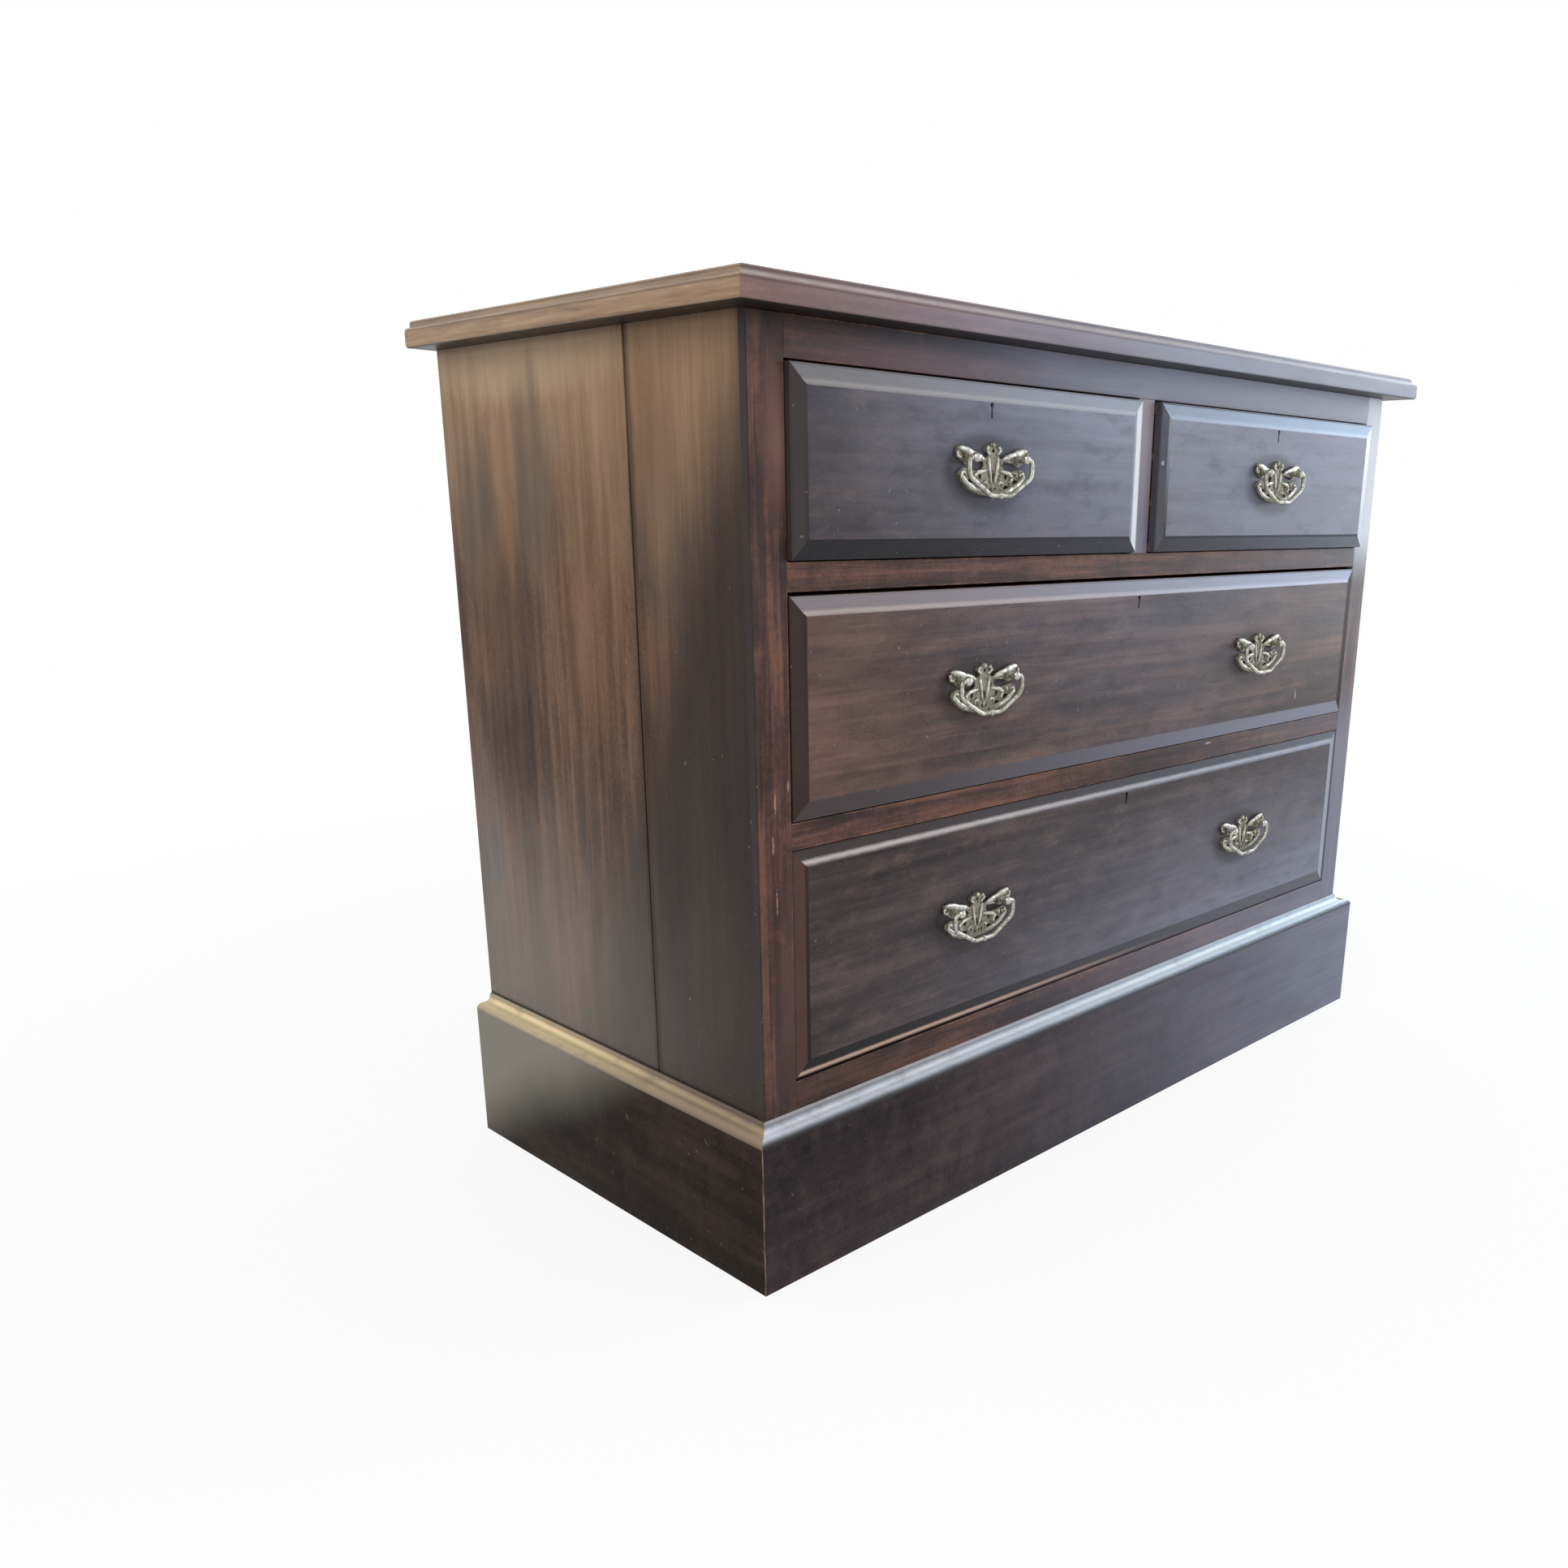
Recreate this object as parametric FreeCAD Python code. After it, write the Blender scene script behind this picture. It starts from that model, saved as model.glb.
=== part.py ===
import FreeCAD, Part
import math
import os

# A chest of two short and two long drawers on a plain plinth, in stained mahogany.
# Millimetres. X runs to the right along the front, Y from the front to the back, Z up.
# The origin is on the floor, under the middle of the top.

Vector = FreeCAD.Vector

# ---- carcass -----------------------------------------------------------------------
carcass_width = 1010.0
carcass_depth = 450.0          # from the face of the stiles to the back
side_thickness = 20.0
side_floor_gap = 3.0           # the sides stop short of the floor, the plinth stands on it
stile_width = 36.0
stile_thickness = 8.0          # a facing glued over the front edge of each side
front_board_width = 149.0      # first board of a side, measured from the stile's face
middle_board_width = 184.0
split_top = 3.0                # the open joint in the left side, at its top end
split_bottom = 0.7             # and at its bottom end
arris = 0.7                    # softened corners of everything that hands touch

# ---- heights; the lowest drawer takes what the others leave ------------------------
overall_height = 812.0
plinth_height = 138.0
mould_height = 14.0
bottom_rail_rise = 40.0        # top of the bottom rail above the plinth
bottom_rail_height = 48.0
middle_opening = 183.0
upper_opening = 146.0
rail_height = 23.0
top_rail_height = 31.0
top_thickness = 24.0

# ---- rails, divider, back ----------------------------------------------------------
rail_depth = 60.0
housing_depth = 6.0            # how far rails enter the sides
divider_width = 26.0
divider_depth = 45.0
tenon_thickness = 12.0
tenon_length = 8.0
back_board_thickness = 10.0
back_board_count = 7
back_board_gap = 0.5
back_rail_depth = 20.0
back_rail_height = 45.0
top_back_rail_depth = 50.0
back_foot = 40.0               # the back boards stop this high above the floor

# ---- what carries and guides the drawers -------------------------------------------
runner_height = 20.0
runner_reach = 17.0            # how far a side runner stands inside the stile's edge
centre_runner_width = 84.0
guide_height = 25.0
centre_guide_clear = 1.0
kicker_height = 20.0
centre_kicker_width = 70.0
stop_length = 40.0
stop_depth = 12.0
stop_height = 4.5
stop_gap = 0.3                 # between a closed drawer and its stops
stop_spread = 0.25             # stops stand at this share of the drawer's width

# ---- top ---------------------------------------------------------------------------
top_overhang_side = 28.0
top_overhang_front = 30.0
top_overhang_back = 4.0
top_lower_radius = 2.5
top_face_height = 12.5         # plain vertical part of the moulded edge
top_shoulder_height = 17.5
top_shoulder_inset = 4.5
top_fillet_inset = 5.5
top_fillet_height = 20.0
top_edge_inset = 9.5

# ---- plinth ------------------------------------------------------------------------
plinth_thickness = 18.0
mould_bead_width = 2.2         # bead against the carcass
mould_hollow_inset = 8.0       # where the hollow ends, from the carcass
mould_hollow_drop = 8.0
mould_quirk_width = 1.2        # small step between hollow and outer round
mould_lip_height = 2.0         # flat edge under the outer round
block_leg = 50.0
block_front_leg = 39.0
block_floor_gap = 12.0
block_top_gap = 14.0
rail_block_length = 90.0
rail_block_depth = 30.0
rail_block_height = 35.0
rail_block_spread = 300.0

# ---- screws that hold the top ------------------------------------------------------
screw_radius = 2.2
screw_head_radius = 4.5
screw_head_height = 2.6
screw_bite = 13.0              # depth in the top
screw_play = 0.1
screw_sink = 9.0
screw_spread = 400.0
screw_front_inset = 35.0

# ---- drawers -----------------------------------------------------------------------
front_thickness = 20.0
drawer_side_clear = 1.0
front_bottom_clear = 1.0
run_clear = 0.3                # drawer sides above their runners
drawer_side_thickness = 10.0
drawer_back_thickness = 10.0
drawer_back_gap = 12.0         # behind a closed drawer
side_top_drop = 3.0
back_top_drop = 5.0
bottom_thickness = 6.0
bottom_lift = 7.0              # bottom board above the lower edge of the sides
groove_depth = 5.0
muntin_width = 60.0
muntin_thickness = 12.0
muntin_drop = 2.5
lap_thickness = 7.0            # wood left in front of the lapped dovetails
tail_pitch = 44.0
pin_wide = 13.0
pin_narrow = 6.0
tail_margin = 5.0
field_slope_width = 13.0       # shallow bevel round the raised field
field_slope_rise = 1.3
field_edge_width = 2.6         # steeper edge where the bevel meets the field
field_edge_rise = 1.1

# ---- how each drawer sits in its opening -------------------------------------------
upper_top_gap = 2.0
middle_top_gap = 3.0
lower_top_gap = 1.0
upper_left_stand = 5.0         # worn stops let the drawers close unevenly:
upper_right_stand = 8.0        # the short ones stand proud of the rails,
middle_stand = 1.0
lower_stand = -1.5             # the lowest goes in a little too far

# ---- locks -------------------------------------------------------------------------
lock_width = 50.0
lock_height = 32.0
lock_depth = 9.0
selvedge_depth = 14.0
selvedge_thickness = 1.5
bolt_width = 18.0
bolt_depth = 4.6
bolt_height = 18.0
bolt_play = 0.3
bolt_front_wall = 2.0
bolt_well_depth = 2.0          # free space under the bolt
bolt_travel = 8.0
mortise_play = 1.2
key_drop = 18.0                # round part of the keyhole, below the drawer's top edge
key_radius = 2.4
key_slot_width = 2.4
key_slot_length = 10.5
key_pin_radius = 1.1
key_pin_back = 7.0             # pin end, behind the drawer's face

# ---- handles: pierced plate, two posts, hanging bail -------------------------------
post_spacing = 66.0
post_half = post_spacing / 2
post_rise = 10.0               # posts above the middle of the drawer front
plate_thickness = 2.4
post_collar_radius = 4.6
post_collar_height = 1.6
post_neck_radius = 2.8
post_ball_radius = 4.2
post_stand = 12.0              # bail pivot in front of the raised field
stud_radius = 1.9
stud_play = 0.3
stud_end = 6.0                 # stud behind the drawer front
nut_width = 9.0
nut_height = 3.0
bail_radius = 2.1
bail_play = 0.1
bail_stub = 3.8                # ends of the bail, inside the middle of the posts
bail_reach = 8.5               # sides of the bail, outside the middle of the posts
bail_side_drop = 15.0
bail_drop = 30.5
bail_flat = 13.5
bail_top_bend = 4.2
bail_side_bend = 9.0
bail_low_bend = 14.0
bead_radius = 3.1
# right half of the plate's outline, as curves from the bottom middle to the top middle:
# lower scroll, its upper edge, end of the slot, wing's underside with a boss for the
# post, wing's upper edge, shoulder, side lobe of the crown, dip and middle lobe
plate_curves = [
    [(0.0, -31.0), (14.0, -30.0), (post_half - 5.0, -27.0), (post_half + 5.0, -21.5),
     (post_half + 11.5, -14.0)],
    [(post_half + 11.5, -14.0), (post_half + 7.0, -9.0), (post_half - 5.0, -9.5),
     (14.0, -8.0)],
    [(14.0, -8.0), (12.5, -5.2), (14.0, -2.5)],
    [(14.0, -2.5), (post_half - 8.0, -2.5), (post_half, -5.8), (post_half + 8.0, -2.5),
     (post_half + 13.5, 8.5)],
    [(post_half + 13.5, 8.5), (post_half + 5.0, 7.5), (post_half - 7.0, 4.5),
     (12.5, 0.5)],
    [(12.5, 0.5), (7.5, 1.5), (6.0, 4.5)],
    [(6.0, 4.5), (10.5, 7.0), (8.5, 10.2), (4.5, 9.2)],
    [(4.5, 9.2), (3.2, 11.8), (0.0, 13.0)],
]
# piercings of the right half (x, z, half width, half height), then those on the middle
plate_side_holes = [(17.0, -14.5, 1.8, 2.8), (17.5, -24.0, 3.2, 2.2),
                    (post_half - 3.0, -19.0, 3.4, 2.2)]
plate_middle_holes = [(0.0, -15.5, 1.4, 3.8), (0.0, -25.0, 4.0, 1.8), (0.0, 6.5, 1.7, 1.6)]

# ---- places that follow from the sizes ---------------------------------------------
face = (top_overhang_front - top_overhang_back - carcass_depth) / 2   # stiles' face
back = face + carcass_depth
half_width = carcass_width / 2
side_inside = half_width - side_thickness
opening_half = half_width - stile_width
carcass_top = overall_height - top_thickness
top_rail_bottom = carcass_top - top_rail_height
upper_rail_top = top_rail_bottom - upper_opening
upper_rail_bottom = upper_rail_top - rail_height
lower_rail_top = upper_rail_bottom - middle_opening
lower_rail_bottom = lower_rail_top - rail_height
bottom_rail_top = plinth_height + bottom_rail_rise
side_front = face + stile_thickness
back_inside = back - back_board_thickness
back_rail_front = back_inside - back_rail_depth
drawer_length = back_rail_front - drawer_back_gap - face
rail_back = face + rail_depth
field_rise = field_slope_rise + field_edge_rise


# ---- small shape helpers -----------------------------------------------------------
def box(x0, x1, y0, y1, z0, z1):
    return Part.makeBox(x1 - x0, y1 - y0, z1 - z0, Vector(x0, y0, z0))


def prism(outline, travel):
    """A straight solid: a closed outline of points, pushed along travel."""
    wire = Part.makePolygon(outline + outline[:1])
    return Part.Face(wire).extrude(travel)


def floor_prism(outline, z0, z1):
    return prism([Vector(x, y, z0) for x, y in outline], Vector(0, 0, z1 - z0))


def rod(x, y, z, radius, length, direction):
    return Part.makeCylinder(radius, length, Vector(x, y, z), direction)


def joined(first, *others):
    for other in others:
        first = first.fuse(other)
    return first.removeSplitter()


def mirrored(shape):
    """The same piece on the other side of the chest."""
    return shape.mirror(Vector(0, 0, 0), Vector(1, 0, 0))


def softened(shape, chosen, radius=arris):
    """Round the edges whose two ends both satisfy chosen(x, y, z)."""
    edges = [e for e in shape.Edges
             if all(chosen(v.X, v.Y, v.Z) for v in e.Vertexes) and len(e.Vertexes) > 1]
    return shape.makeFillet(radius, edges)


def near(value, target):
    return math.isclose(value, target, abs_tol=arris / 10)


def save(name, *solids):
    shape = solids[0] if len(solids) == 1 else Part.makeCompound(list(solids))
    shape.exportStep("parts/" + name + ".step")


# ---- top: one wide board, moulded along the front and both ends ---------------------
def edge_cutter(origin, inward, length_along):
    """What the moulding plane takes off one edge: origin is on the outer lower corner."""
    def at(inset, height):
        return origin + inward * inset + Vector(0, 0, height)

    slack = top_lower_radius
    half_turn = math.sqrt(0.5)
    lower_mid = at(top_lower_radius * (1 - half_turn), top_lower_radius * (1 - half_turn))
    shoulder_rise = top_shoulder_height - top_face_height
    shoulder_mid = at(top_shoulder_inset * (1 - half_turn),
                      top_face_height + shoulder_rise * half_turn)
    ovolo_width = top_edge_inset - top_fillet_inset
    ovolo_rise = top_thickness - top_fillet_height
    ovolo_mid = at(top_fillet_inset + ovolo_width * (1 - half_turn),
                   top_fillet_height + ovolo_rise * half_turn)
    start = at(top_lower_radius, 0)
    low = at(0, top_lower_radius)
    shoulder = at(0, top_face_height)
    ledge = at(top_shoulder_inset, top_shoulder_height)
    riser = at(top_fillet_inset, top_shoulder_height)
    ovolo = at(top_fillet_inset, top_fillet_height)
    end = at(top_edge_inset, top_thickness)
    outside = [end, at(top_edge_inset, top_thickness + slack),
               at(-slack, top_thickness + slack), at(-slack, -slack),
               at(top_lower_radius, -slack), start]
    edges = [Part.Arc(start, lower_mid, low).toShape(),
             Part.makeLine(low, shoulder),
             Part.Arc(shoulder, shoulder_mid, ledge).toShape(),
             Part.makeLine(ledge, riser), Part.makeLine(riser, ovolo),
             Part.Arc(ovolo, ovolo_mid, end).toShape()]
    edges += [Part.makeLine(a, b) for a, b in zip(outside, outside[1:])]
    return Part.Face(Part.Wire(edges)).extrude(length_along)


def top_board():
    right = half_width + top_overhang_side
    front = face - top_overhang_front
    rear = back + top_overhang_back
    board = box(-right, right, front, rear, carcass_top, overall_height)
    slack = top_overhang_side
    along_x = Vector(2 * right + 2 * slack, 0, 0)
    along_y = Vector(0, rear - front + 2 * slack, 0)
    board = board.cut(edge_cutter(Vector(-right - slack, front, carcass_top),
                                  Vector(0, 1, 0), along_x))
    left_cutter = edge_cutter(Vector(-right, front - slack, carcass_top),
                              Vector(1, 0, 0), along_y)
    return board.cut(left_cutter).cut(mirrored(left_cutter))


# ---- sides: three boards glued edge to edge; the left one has opened at a joint ----
def side_boards(gap_top, gap_bottom):
    """Boards of the left side, front to back, still without housings."""
    joint = face + front_board_width
    second = joint + middle_board_width
    outer, inner = -half_width, -side_inside
    front = box(outer, inner, side_front, joint, side_floor_gap, carcass_top)
    edge = [Vector(outer, joint + gap_bottom, side_floor_gap),
            Vector(outer, second, side_floor_gap),
            Vector(outer, second, carcass_top),
            Vector(outer, joint + gap_top, carcass_top)]
    middle = prism(edge, Vector(side_thickness, 0, 0))
    rear = box(outer, inner, second, back, side_floor_gap, carcass_top)
    rebate_half = side_thickness / 2
    rebate = box(-half_width + rebate_half, inner, back_inside, back,
                 back_foot, carcass_top)
    return [front, middle, rear.cut(rebate)]


def stile():
    """Left facing, full height, over the front edge of the side."""
    left = box(-half_width, -opening_half, face, side_front, side_floor_gap, carcass_top)
    return softened(left, lambda x, y, z: near(y, face))


# ---- rails: flat boards across the front, housed into the sides ---------------------
def front_rail(z0, z1):
    """Butts between the stiles at the face, runs behind them into the sides."""
    between = box(-opening_half, opening_half, face, rail_back, z0, z1)
    between = softened(between, lambda x, y, z: near(y, face))
    reach = side_inside + housing_depth
    behind = box(-reach, reach, side_front, rail_back, z0, z1)
    return joined(between, behind)


def back_rail(z0, z1, depth):
    reach = side_inside + housing_depth
    return box(-reach, reach, back_inside - depth, back_inside, z0, z1)


def divider():
    """Upright between the short drawers, stub-tenoned into the rails."""
    half = divider_width / 2
    body = box(-half, half, face, face + divider_depth, upper_rail_top, top_rail_bottom)
    body = softened(body, lambda x, y, z: near(y, face))
    middle = face + divider_depth / 2
    tenon = box(-half, half, middle - tenon_thickness / 2, middle + tenon_thickness / 2,
                upper_rail_top - tenon_length, top_rail_bottom + tenon_length)
    return joined(body, tenon)


def back_boards():
    """Thin boards set upright in the rebates of the sides."""
    reach = half_width - side_thickness / 2
    pitch = 2 * reach / back_board_count
    left_edges = [-reach + pitch * i for i in range(back_board_count)]
    return [box(x, x + pitch - back_board_gap, back_inside, back, back_foot, carcass_top)
            for x in left_edges]


# ---- runners, guides, kickers and stops ---------------------------------------------
def both_sides(piece):
    return [piece, mirrored(piece)]


def runners():
    pieces = []
    inner = -opening_half + runner_reach
    for top in (bottom_rail_top, lower_rail_top, upper_rail_top):
        pieces += both_sides(box(-side_inside, inner, rail_back, back_rail_front,
                                 top - runner_height, top))
    half = centre_runner_width / 2
    pieces.append(box(-half, half, rail_back, back_rail_front,
                      upper_rail_top - runner_height, upper_rail_top))
    return pieces


def guides():
    pieces = []
    for top in (bottom_rail_top, lower_rail_top, upper_rail_top):
        pieces += both_sides(box(-side_inside, -opening_half, rail_back, back_rail_front,
                                 top, top + guide_height))
    half = divider_width / 2 - centre_guide_clear
    pieces.append(box(-half, half, face + divider_depth, back_rail_front,
                      upper_rail_top, upper_rail_top + guide_height))
    return pieces


def kickers():
    """Strips over the short drawers that stop them tipping when they are pulled out."""
    rear = back_inside - top_back_rail_depth
    z0, z1 = top_rail_bottom, top_rail_bottom + kicker_height
    pieces = both_sides(box(-side_inside, -opening_half + runner_reach,
                            rail_back, rear, z0, z1))
    half = centre_kicker_width / 2
    pieces.append(box(-half, half, rail_back, rear, z0, z1))
    return pieces


def stops(drawer):
    """Two small blocks on the rail that the back of the drawer front meets."""
    y = drawer["face"] + front_thickness + stop_gap
    width = drawer["right"] - drawer["left"]
    middle = (drawer["right"] + drawer["left"]) / 2
    z = drawer["floor"]
    centres = [middle - width * stop_spread, middle + width * stop_spread]
    return [box(x - stop_length / 2, x + stop_length / 2, y, y + stop_depth,
                z, z + stop_height) for x in centres]


# ---- plinth: three boards mitred at the front corners, with a moulding on top -------
def plinth_footprint():
    out = half_width + plinth_thickness
    front = face - plinth_thickness
    front_board = [(-out, front), (out, front), (half_width, face), (-half_width, face)]
    left_board = [(-out, front), (-half_width, face), (-half_width, back), (-out, back)]
    return front_board, left_board


def plinth_boards():
    front_board, left_board = plinth_footprint()
    front = floor_prism(front_board, 0, plinth_height)
    left = floor_prism(left_board, 0, plinth_height)
    return front, left, mirrored(left)


def mould_profile(at):
    """at(out, height) gives a point: out from the carcass, height above the plinth."""
    bead = mould_bead_width
    hollow_end = mould_height - mould_hollow_drop
    hollow_turn = math.sqrt(0.5)
    inner_width = mould_hollow_inset - bead
    hollow_rise = mould_height - bead - hollow_end
    hollow_mid = at(mould_hollow_inset - inner_width * hollow_turn,
                    hollow_end + hollow_rise * (1 - hollow_turn))
    step_out = mould_hollow_inset + mould_quirk_width
    round_width = plinth_thickness - step_out
    round_rise = hollow_end - mould_lip_height
    round_mid = at(step_out + round_width * hollow_turn,
                   mould_lip_height + round_rise * hollow_turn)
    bead_mid = at(bead * hollow_turn, mould_height - bead * (1 - hollow_turn))
    corners = [at(0, 0), at(0, mould_height), at(bead, mould_height - bead),
               at(mould_hollow_inset, hollow_end), at(step_out, hollow_end),
               at(plinth_thickness, mould_lip_height), at(plinth_thickness, 0)]
    foot, top, bead_end, hollow_foot, step, lip, toe = corners
    return Part.Wire([Part.makeLine(foot, top),
                      Part.Arc(top, bead_mid, bead_end).toShape(),
                      Part.Arc(bead_end, hollow_mid, hollow_foot).toShape(),
                      Part.makeLine(hollow_foot, step),
                      Part.Arc(step, round_mid, lip).toShape(),
                      Part.makeLine(lip, toe), Part.makeLine(toe, foot)])


def plinth_mouldings():
    front_board, left_board = plinth_footprint()
    out = half_width + plinth_thickness

    def front_at(outward, height):
        return Vector(-out, face - outward, plinth_height + height)

    def left_at(outward, height):
        return Vector(-half_width - outward, face - plinth_thickness,
                      plinth_height + height)

    top = plinth_height + mould_height
    front = Part.Face(mould_profile(front_at)).extrude(Vector(2 * out, 0, 0))
    front = front.common(floor_prism(front_board, plinth_height, top))
    run = Vector(0, back - face + plinth_thickness, 0)
    left = Part.Face(mould_profile(left_at)).extrude(run)
    left = left.common(floor_prism(left_board, plinth_height, top))
    return front, left, mirrored(left)


def glue_blocks():
    """Blocks rubbed into the plinth's front corners and along the bottom rail."""
    bottom_rail_bottom = bottom_rail_top - bottom_rail_height
    corner = [(-opening_half, face), (-opening_half + block_front_leg, face),
              (-side_inside, face + block_leg), (-side_inside, side_front),
              (-opening_half, side_front)]
    pieces = both_sides(floor_prism(corner, block_floor_gap,
                                    bottom_rail_bottom - block_top_gap))
    half = rail_block_length / 2
    for x in (-rail_block_spread, 0.0, rail_block_spread):
        pieces.append(box(x - half, x + half, face, face + rail_block_depth,
                          bottom_rail_bottom - rail_block_height, bottom_rail_bottom))
    return pieces


# ---- screws up through the rails into the top --------------------------------------
def screw_places():
    front_y = face + screw_front_inset
    rear_y = back_inside - top_back_rail_depth / 2
    return [(x, y) for y in (front_y, rear_y)
            for x in (-screw_spread, -screw_spread / 3, screw_spread / 3, screw_spread)]


def screw(x, y, rail_underside, play):
    """Wood screw, or with play the hole for it, counterbored from below."""
    up = Vector(0, 0, 1)
    seat = rail_underside + screw_sink
    head_bottom = rail_underside if play else seat - screw_head_height
    shank_length = carcass_top + screw_bite - seat
    head = rod(x, y, head_bottom, screw_head_radius + play, seat - head_bottom, up)
    return joined(head, rod(x, y, seat, screw_radius + play, shank_length, up))


# ---- drawers ------------------------------------------------------------------------
def drawer_plan(name, left, right, floor, ceiling, top_gap, stand, handle_centres):
    """One drawer's place: all of its pieces are worked out from these values."""
    return {"name": name, "left": left + drawer_side_clear,
            "right": right - drawer_side_clear, "floor": floor,
            "bottom": floor + front_bottom_clear, "top": ceiling - top_gap,
            "side_bottom": floor + run_clear, "face": face - stand,
            "ceiling": ceiling, "handles": handle_centres,
            "has_muntin": left < 0 < right}


def frustum(left, right, bottom, top, y_small, y_large, inset):
    return Part.makeWedge(left + inset, y_small, bottom + inset, bottom, left,
                          right - inset, y_large, top - inset, top, right)


def raised_front(d):
    """Solid front with a raised field inside a mitred bevel."""
    y = d["face"]
    slab = box(d["left"], d["right"], y, y + front_thickness, d["bottom"], d["top"])
    mid_y = y - field_slope_rise
    w = field_slope_width
    slope = frustum(d["left"], d["right"], d["bottom"], d["top"], mid_y, y, w)
    edge = frustum(d["left"] + w, d["right"] - w, d["bottom"] + w, d["top"] - w,
                   mid_y - field_edge_rise, mid_y, field_edge_width)
    return joined(slab, slope, edge)


def tails(left, root_y, end_y, z0, z1):
    """Dovetails in one drawer side, wider at end_y than at root_y."""
    count = max(2, round((z1 - z0) / tail_pitch))
    pitch = (z1 - z0) / count
    shapes = []
    for i in range(count):
        middle = z0 + pitch * (i + 0.5)
        root, end = (pitch - pin_wide) / 2, (pitch - pin_narrow) / 2
        outline = [Vector(left, root_y, middle - root), Vector(left, end_y, middle - end),
                   Vector(left, end_y, middle + end), Vector(left, root_y, middle + root)]
        shapes.append(prism(outline, Vector(drawer_side_thickness, 0, 0)))
    return shapes


def drawer_heights(d):
    side_top = d["top"] - side_top_drop
    bottom_z = d["side_bottom"] + bottom_lift
    back_bottom = bottom_z + bottom_thickness
    return side_top, bottom_z, back_bottom, side_top - back_top_drop


def drawer_side(d, left):
    side_top, _, back_bottom, back_top = drawer_heights(d)
    right = left + drawer_side_thickness
    front_y = d["face"] + front_thickness
    end_y = d["face"] + drawer_length
    body = box(left, right, front_y, end_y - drawer_back_thickness,
               d["side_bottom"], side_top)
    below = box(left, right, front_y, end_y, d["side_bottom"], back_bottom)
    above = box(left, right, front_y, end_y, back_top, side_top)
    front_tails = tails(left, front_y, d["face"] + lap_thickness,
                        d["bottom"] + tail_margin, side_top - tail_margin)
    back_tails = tails(left, end_y - drawer_back_thickness, end_y,
                       back_bottom, back_top)
    return joined(body, below, above, *front_tails, *back_tails)


def drawer_bottom(d):
    """One board, or two in a grooved muntin under a long drawer."""
    _, z, back_bottom, _ = drawer_heights(d)
    left = d["left"] + drawer_side_thickness - groove_depth
    right = d["right"] - drawer_side_thickness + groove_depth
    y0 = d["face"] + front_thickness - groove_depth
    y1 = d["face"] + drawer_length
    if not d["has_muntin"]:
        return [box(left, right, y0, y1, z, back_bottom)]
    middle = (left + right) / 2
    tongue = muntin_width / 2 - groove_depth
    boards = [box(left, middle - tongue, y0, y1, z, back_bottom),
              box(middle + tongue, right, y0, y1, z, back_bottom)]
    front_y = d["face"] + front_thickness
    end_y = y1 - drawer_back_thickness
    bar = box(middle - muntin_width / 2, middle + muntin_width / 2, front_y, end_y,
              z - muntin_drop, z - muntin_drop + muntin_thickness)
    for board in boards:
        bar = bar.cut(board)
    return boards + [bar]


# ---- locks: brass case let into the back of the front, with a sliding bolt ----------
def bolt_box(d, play, z0, z1):
    middle = (d["left"] + d["right"]) / 2
    y0 = d["face"] + front_thickness - lock_depth + bolt_front_wall
    half = bolt_width / 2 + play
    return box(middle - half, middle + half, y0 - play, y0 + bolt_depth + play, z0, z1)


def lock_case(d):
    middle = (d["left"] + d["right"]) / 2
    back_y = d["face"] + front_thickness
    top = d["top"]
    half = lock_width / 2
    case = box(middle - half, middle + half, back_y - lock_depth, back_y,
               top - lock_height, top)
    selvedge = box(middle - half, middle + half, back_y - selvedge_depth, back_y,
                   top - selvedge_thickness, top)
    return joined(case, selvedge)


def lock_and_bolt(d):
    middle = (d["left"] + d["right"]) / 2
    top = d["top"]
    well = bolt_box(d, bolt_play, top - bolt_height - bolt_well_depth, top)
    pin_y = d["face"] + key_pin_back
    case_y = d["face"] + front_thickness - lock_depth
    pin = rod(middle, pin_y, top - key_drop, key_pin_radius, case_y - pin_y,
              Vector(0, 1, 0))
    lock = joined(lock_case(d).cut(well), pin)
    return lock, bolt_box(d, 0, top - bolt_height, top)


def bolt_mortise(d):
    return bolt_box(d, mortise_play, d["ceiling"],
                    d["top"] + bolt_travel + mortise_play)


def keyhole(d):
    middle = (d["left"] + d["right"]) / 2
    z = d["top"] - key_drop
    y0 = d["face"] - field_rise
    depth = front_thickness + field_rise
    eye = rod(middle, y0, z, key_radius, depth, Vector(0, 1, 0))
    half = key_slot_width / 2
    slot = box(middle - half, middle + half, y0, y0 + depth, z - key_slot_length, z)
    return joined(eye, slot)


# ---- handles ------------------------------------------------------------------------
def curve_through(points):
    curve = Part.BSplineCurve()
    curve.interpolate(points)
    return curve.toShape()


def plate(x, y, z):
    """Cast plate, a winged and pierced outline; its back lies on the field at y."""
    def right_at(p):
        return Vector(x + p[0], y, z + p[1])

    def left_at(p):
        return Vector(x - p[0], y, z + p[1])

    edges = [curve_through([right_at(p) for p in curve]) for curve in plate_curves]
    edges += [curve_through([left_at(p) for p in reversed(curve)])
              for curve in reversed(plate_curves)]
    outward = Vector(0, -plate_thickness, 0)
    body = Part.Face(Part.Wire(edges)).extrude(outward)
    holes = plate_side_holes + plate_middle_holes
    holes = holes + [(-hx, hz, rx, rz) for hx, hz, rx, rz in plate_side_holes]
    for hx, hz, rx, rz in holes:
        wide = Vector(x + hx + rx, y, z + hz)
        tall = Vector(x + hx, y, z + hz + rz)
        middle = Vector(x + hx, y, z + hz)
        ends = (wide, tall) if rx >= rz else (tall, wide)
        ring = Part.Wire([Part.Ellipse(ends[0], ends[1], middle).toShape()])
        body = body.cut(Part.Face(ring).extrude(outward))
    return body


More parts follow.
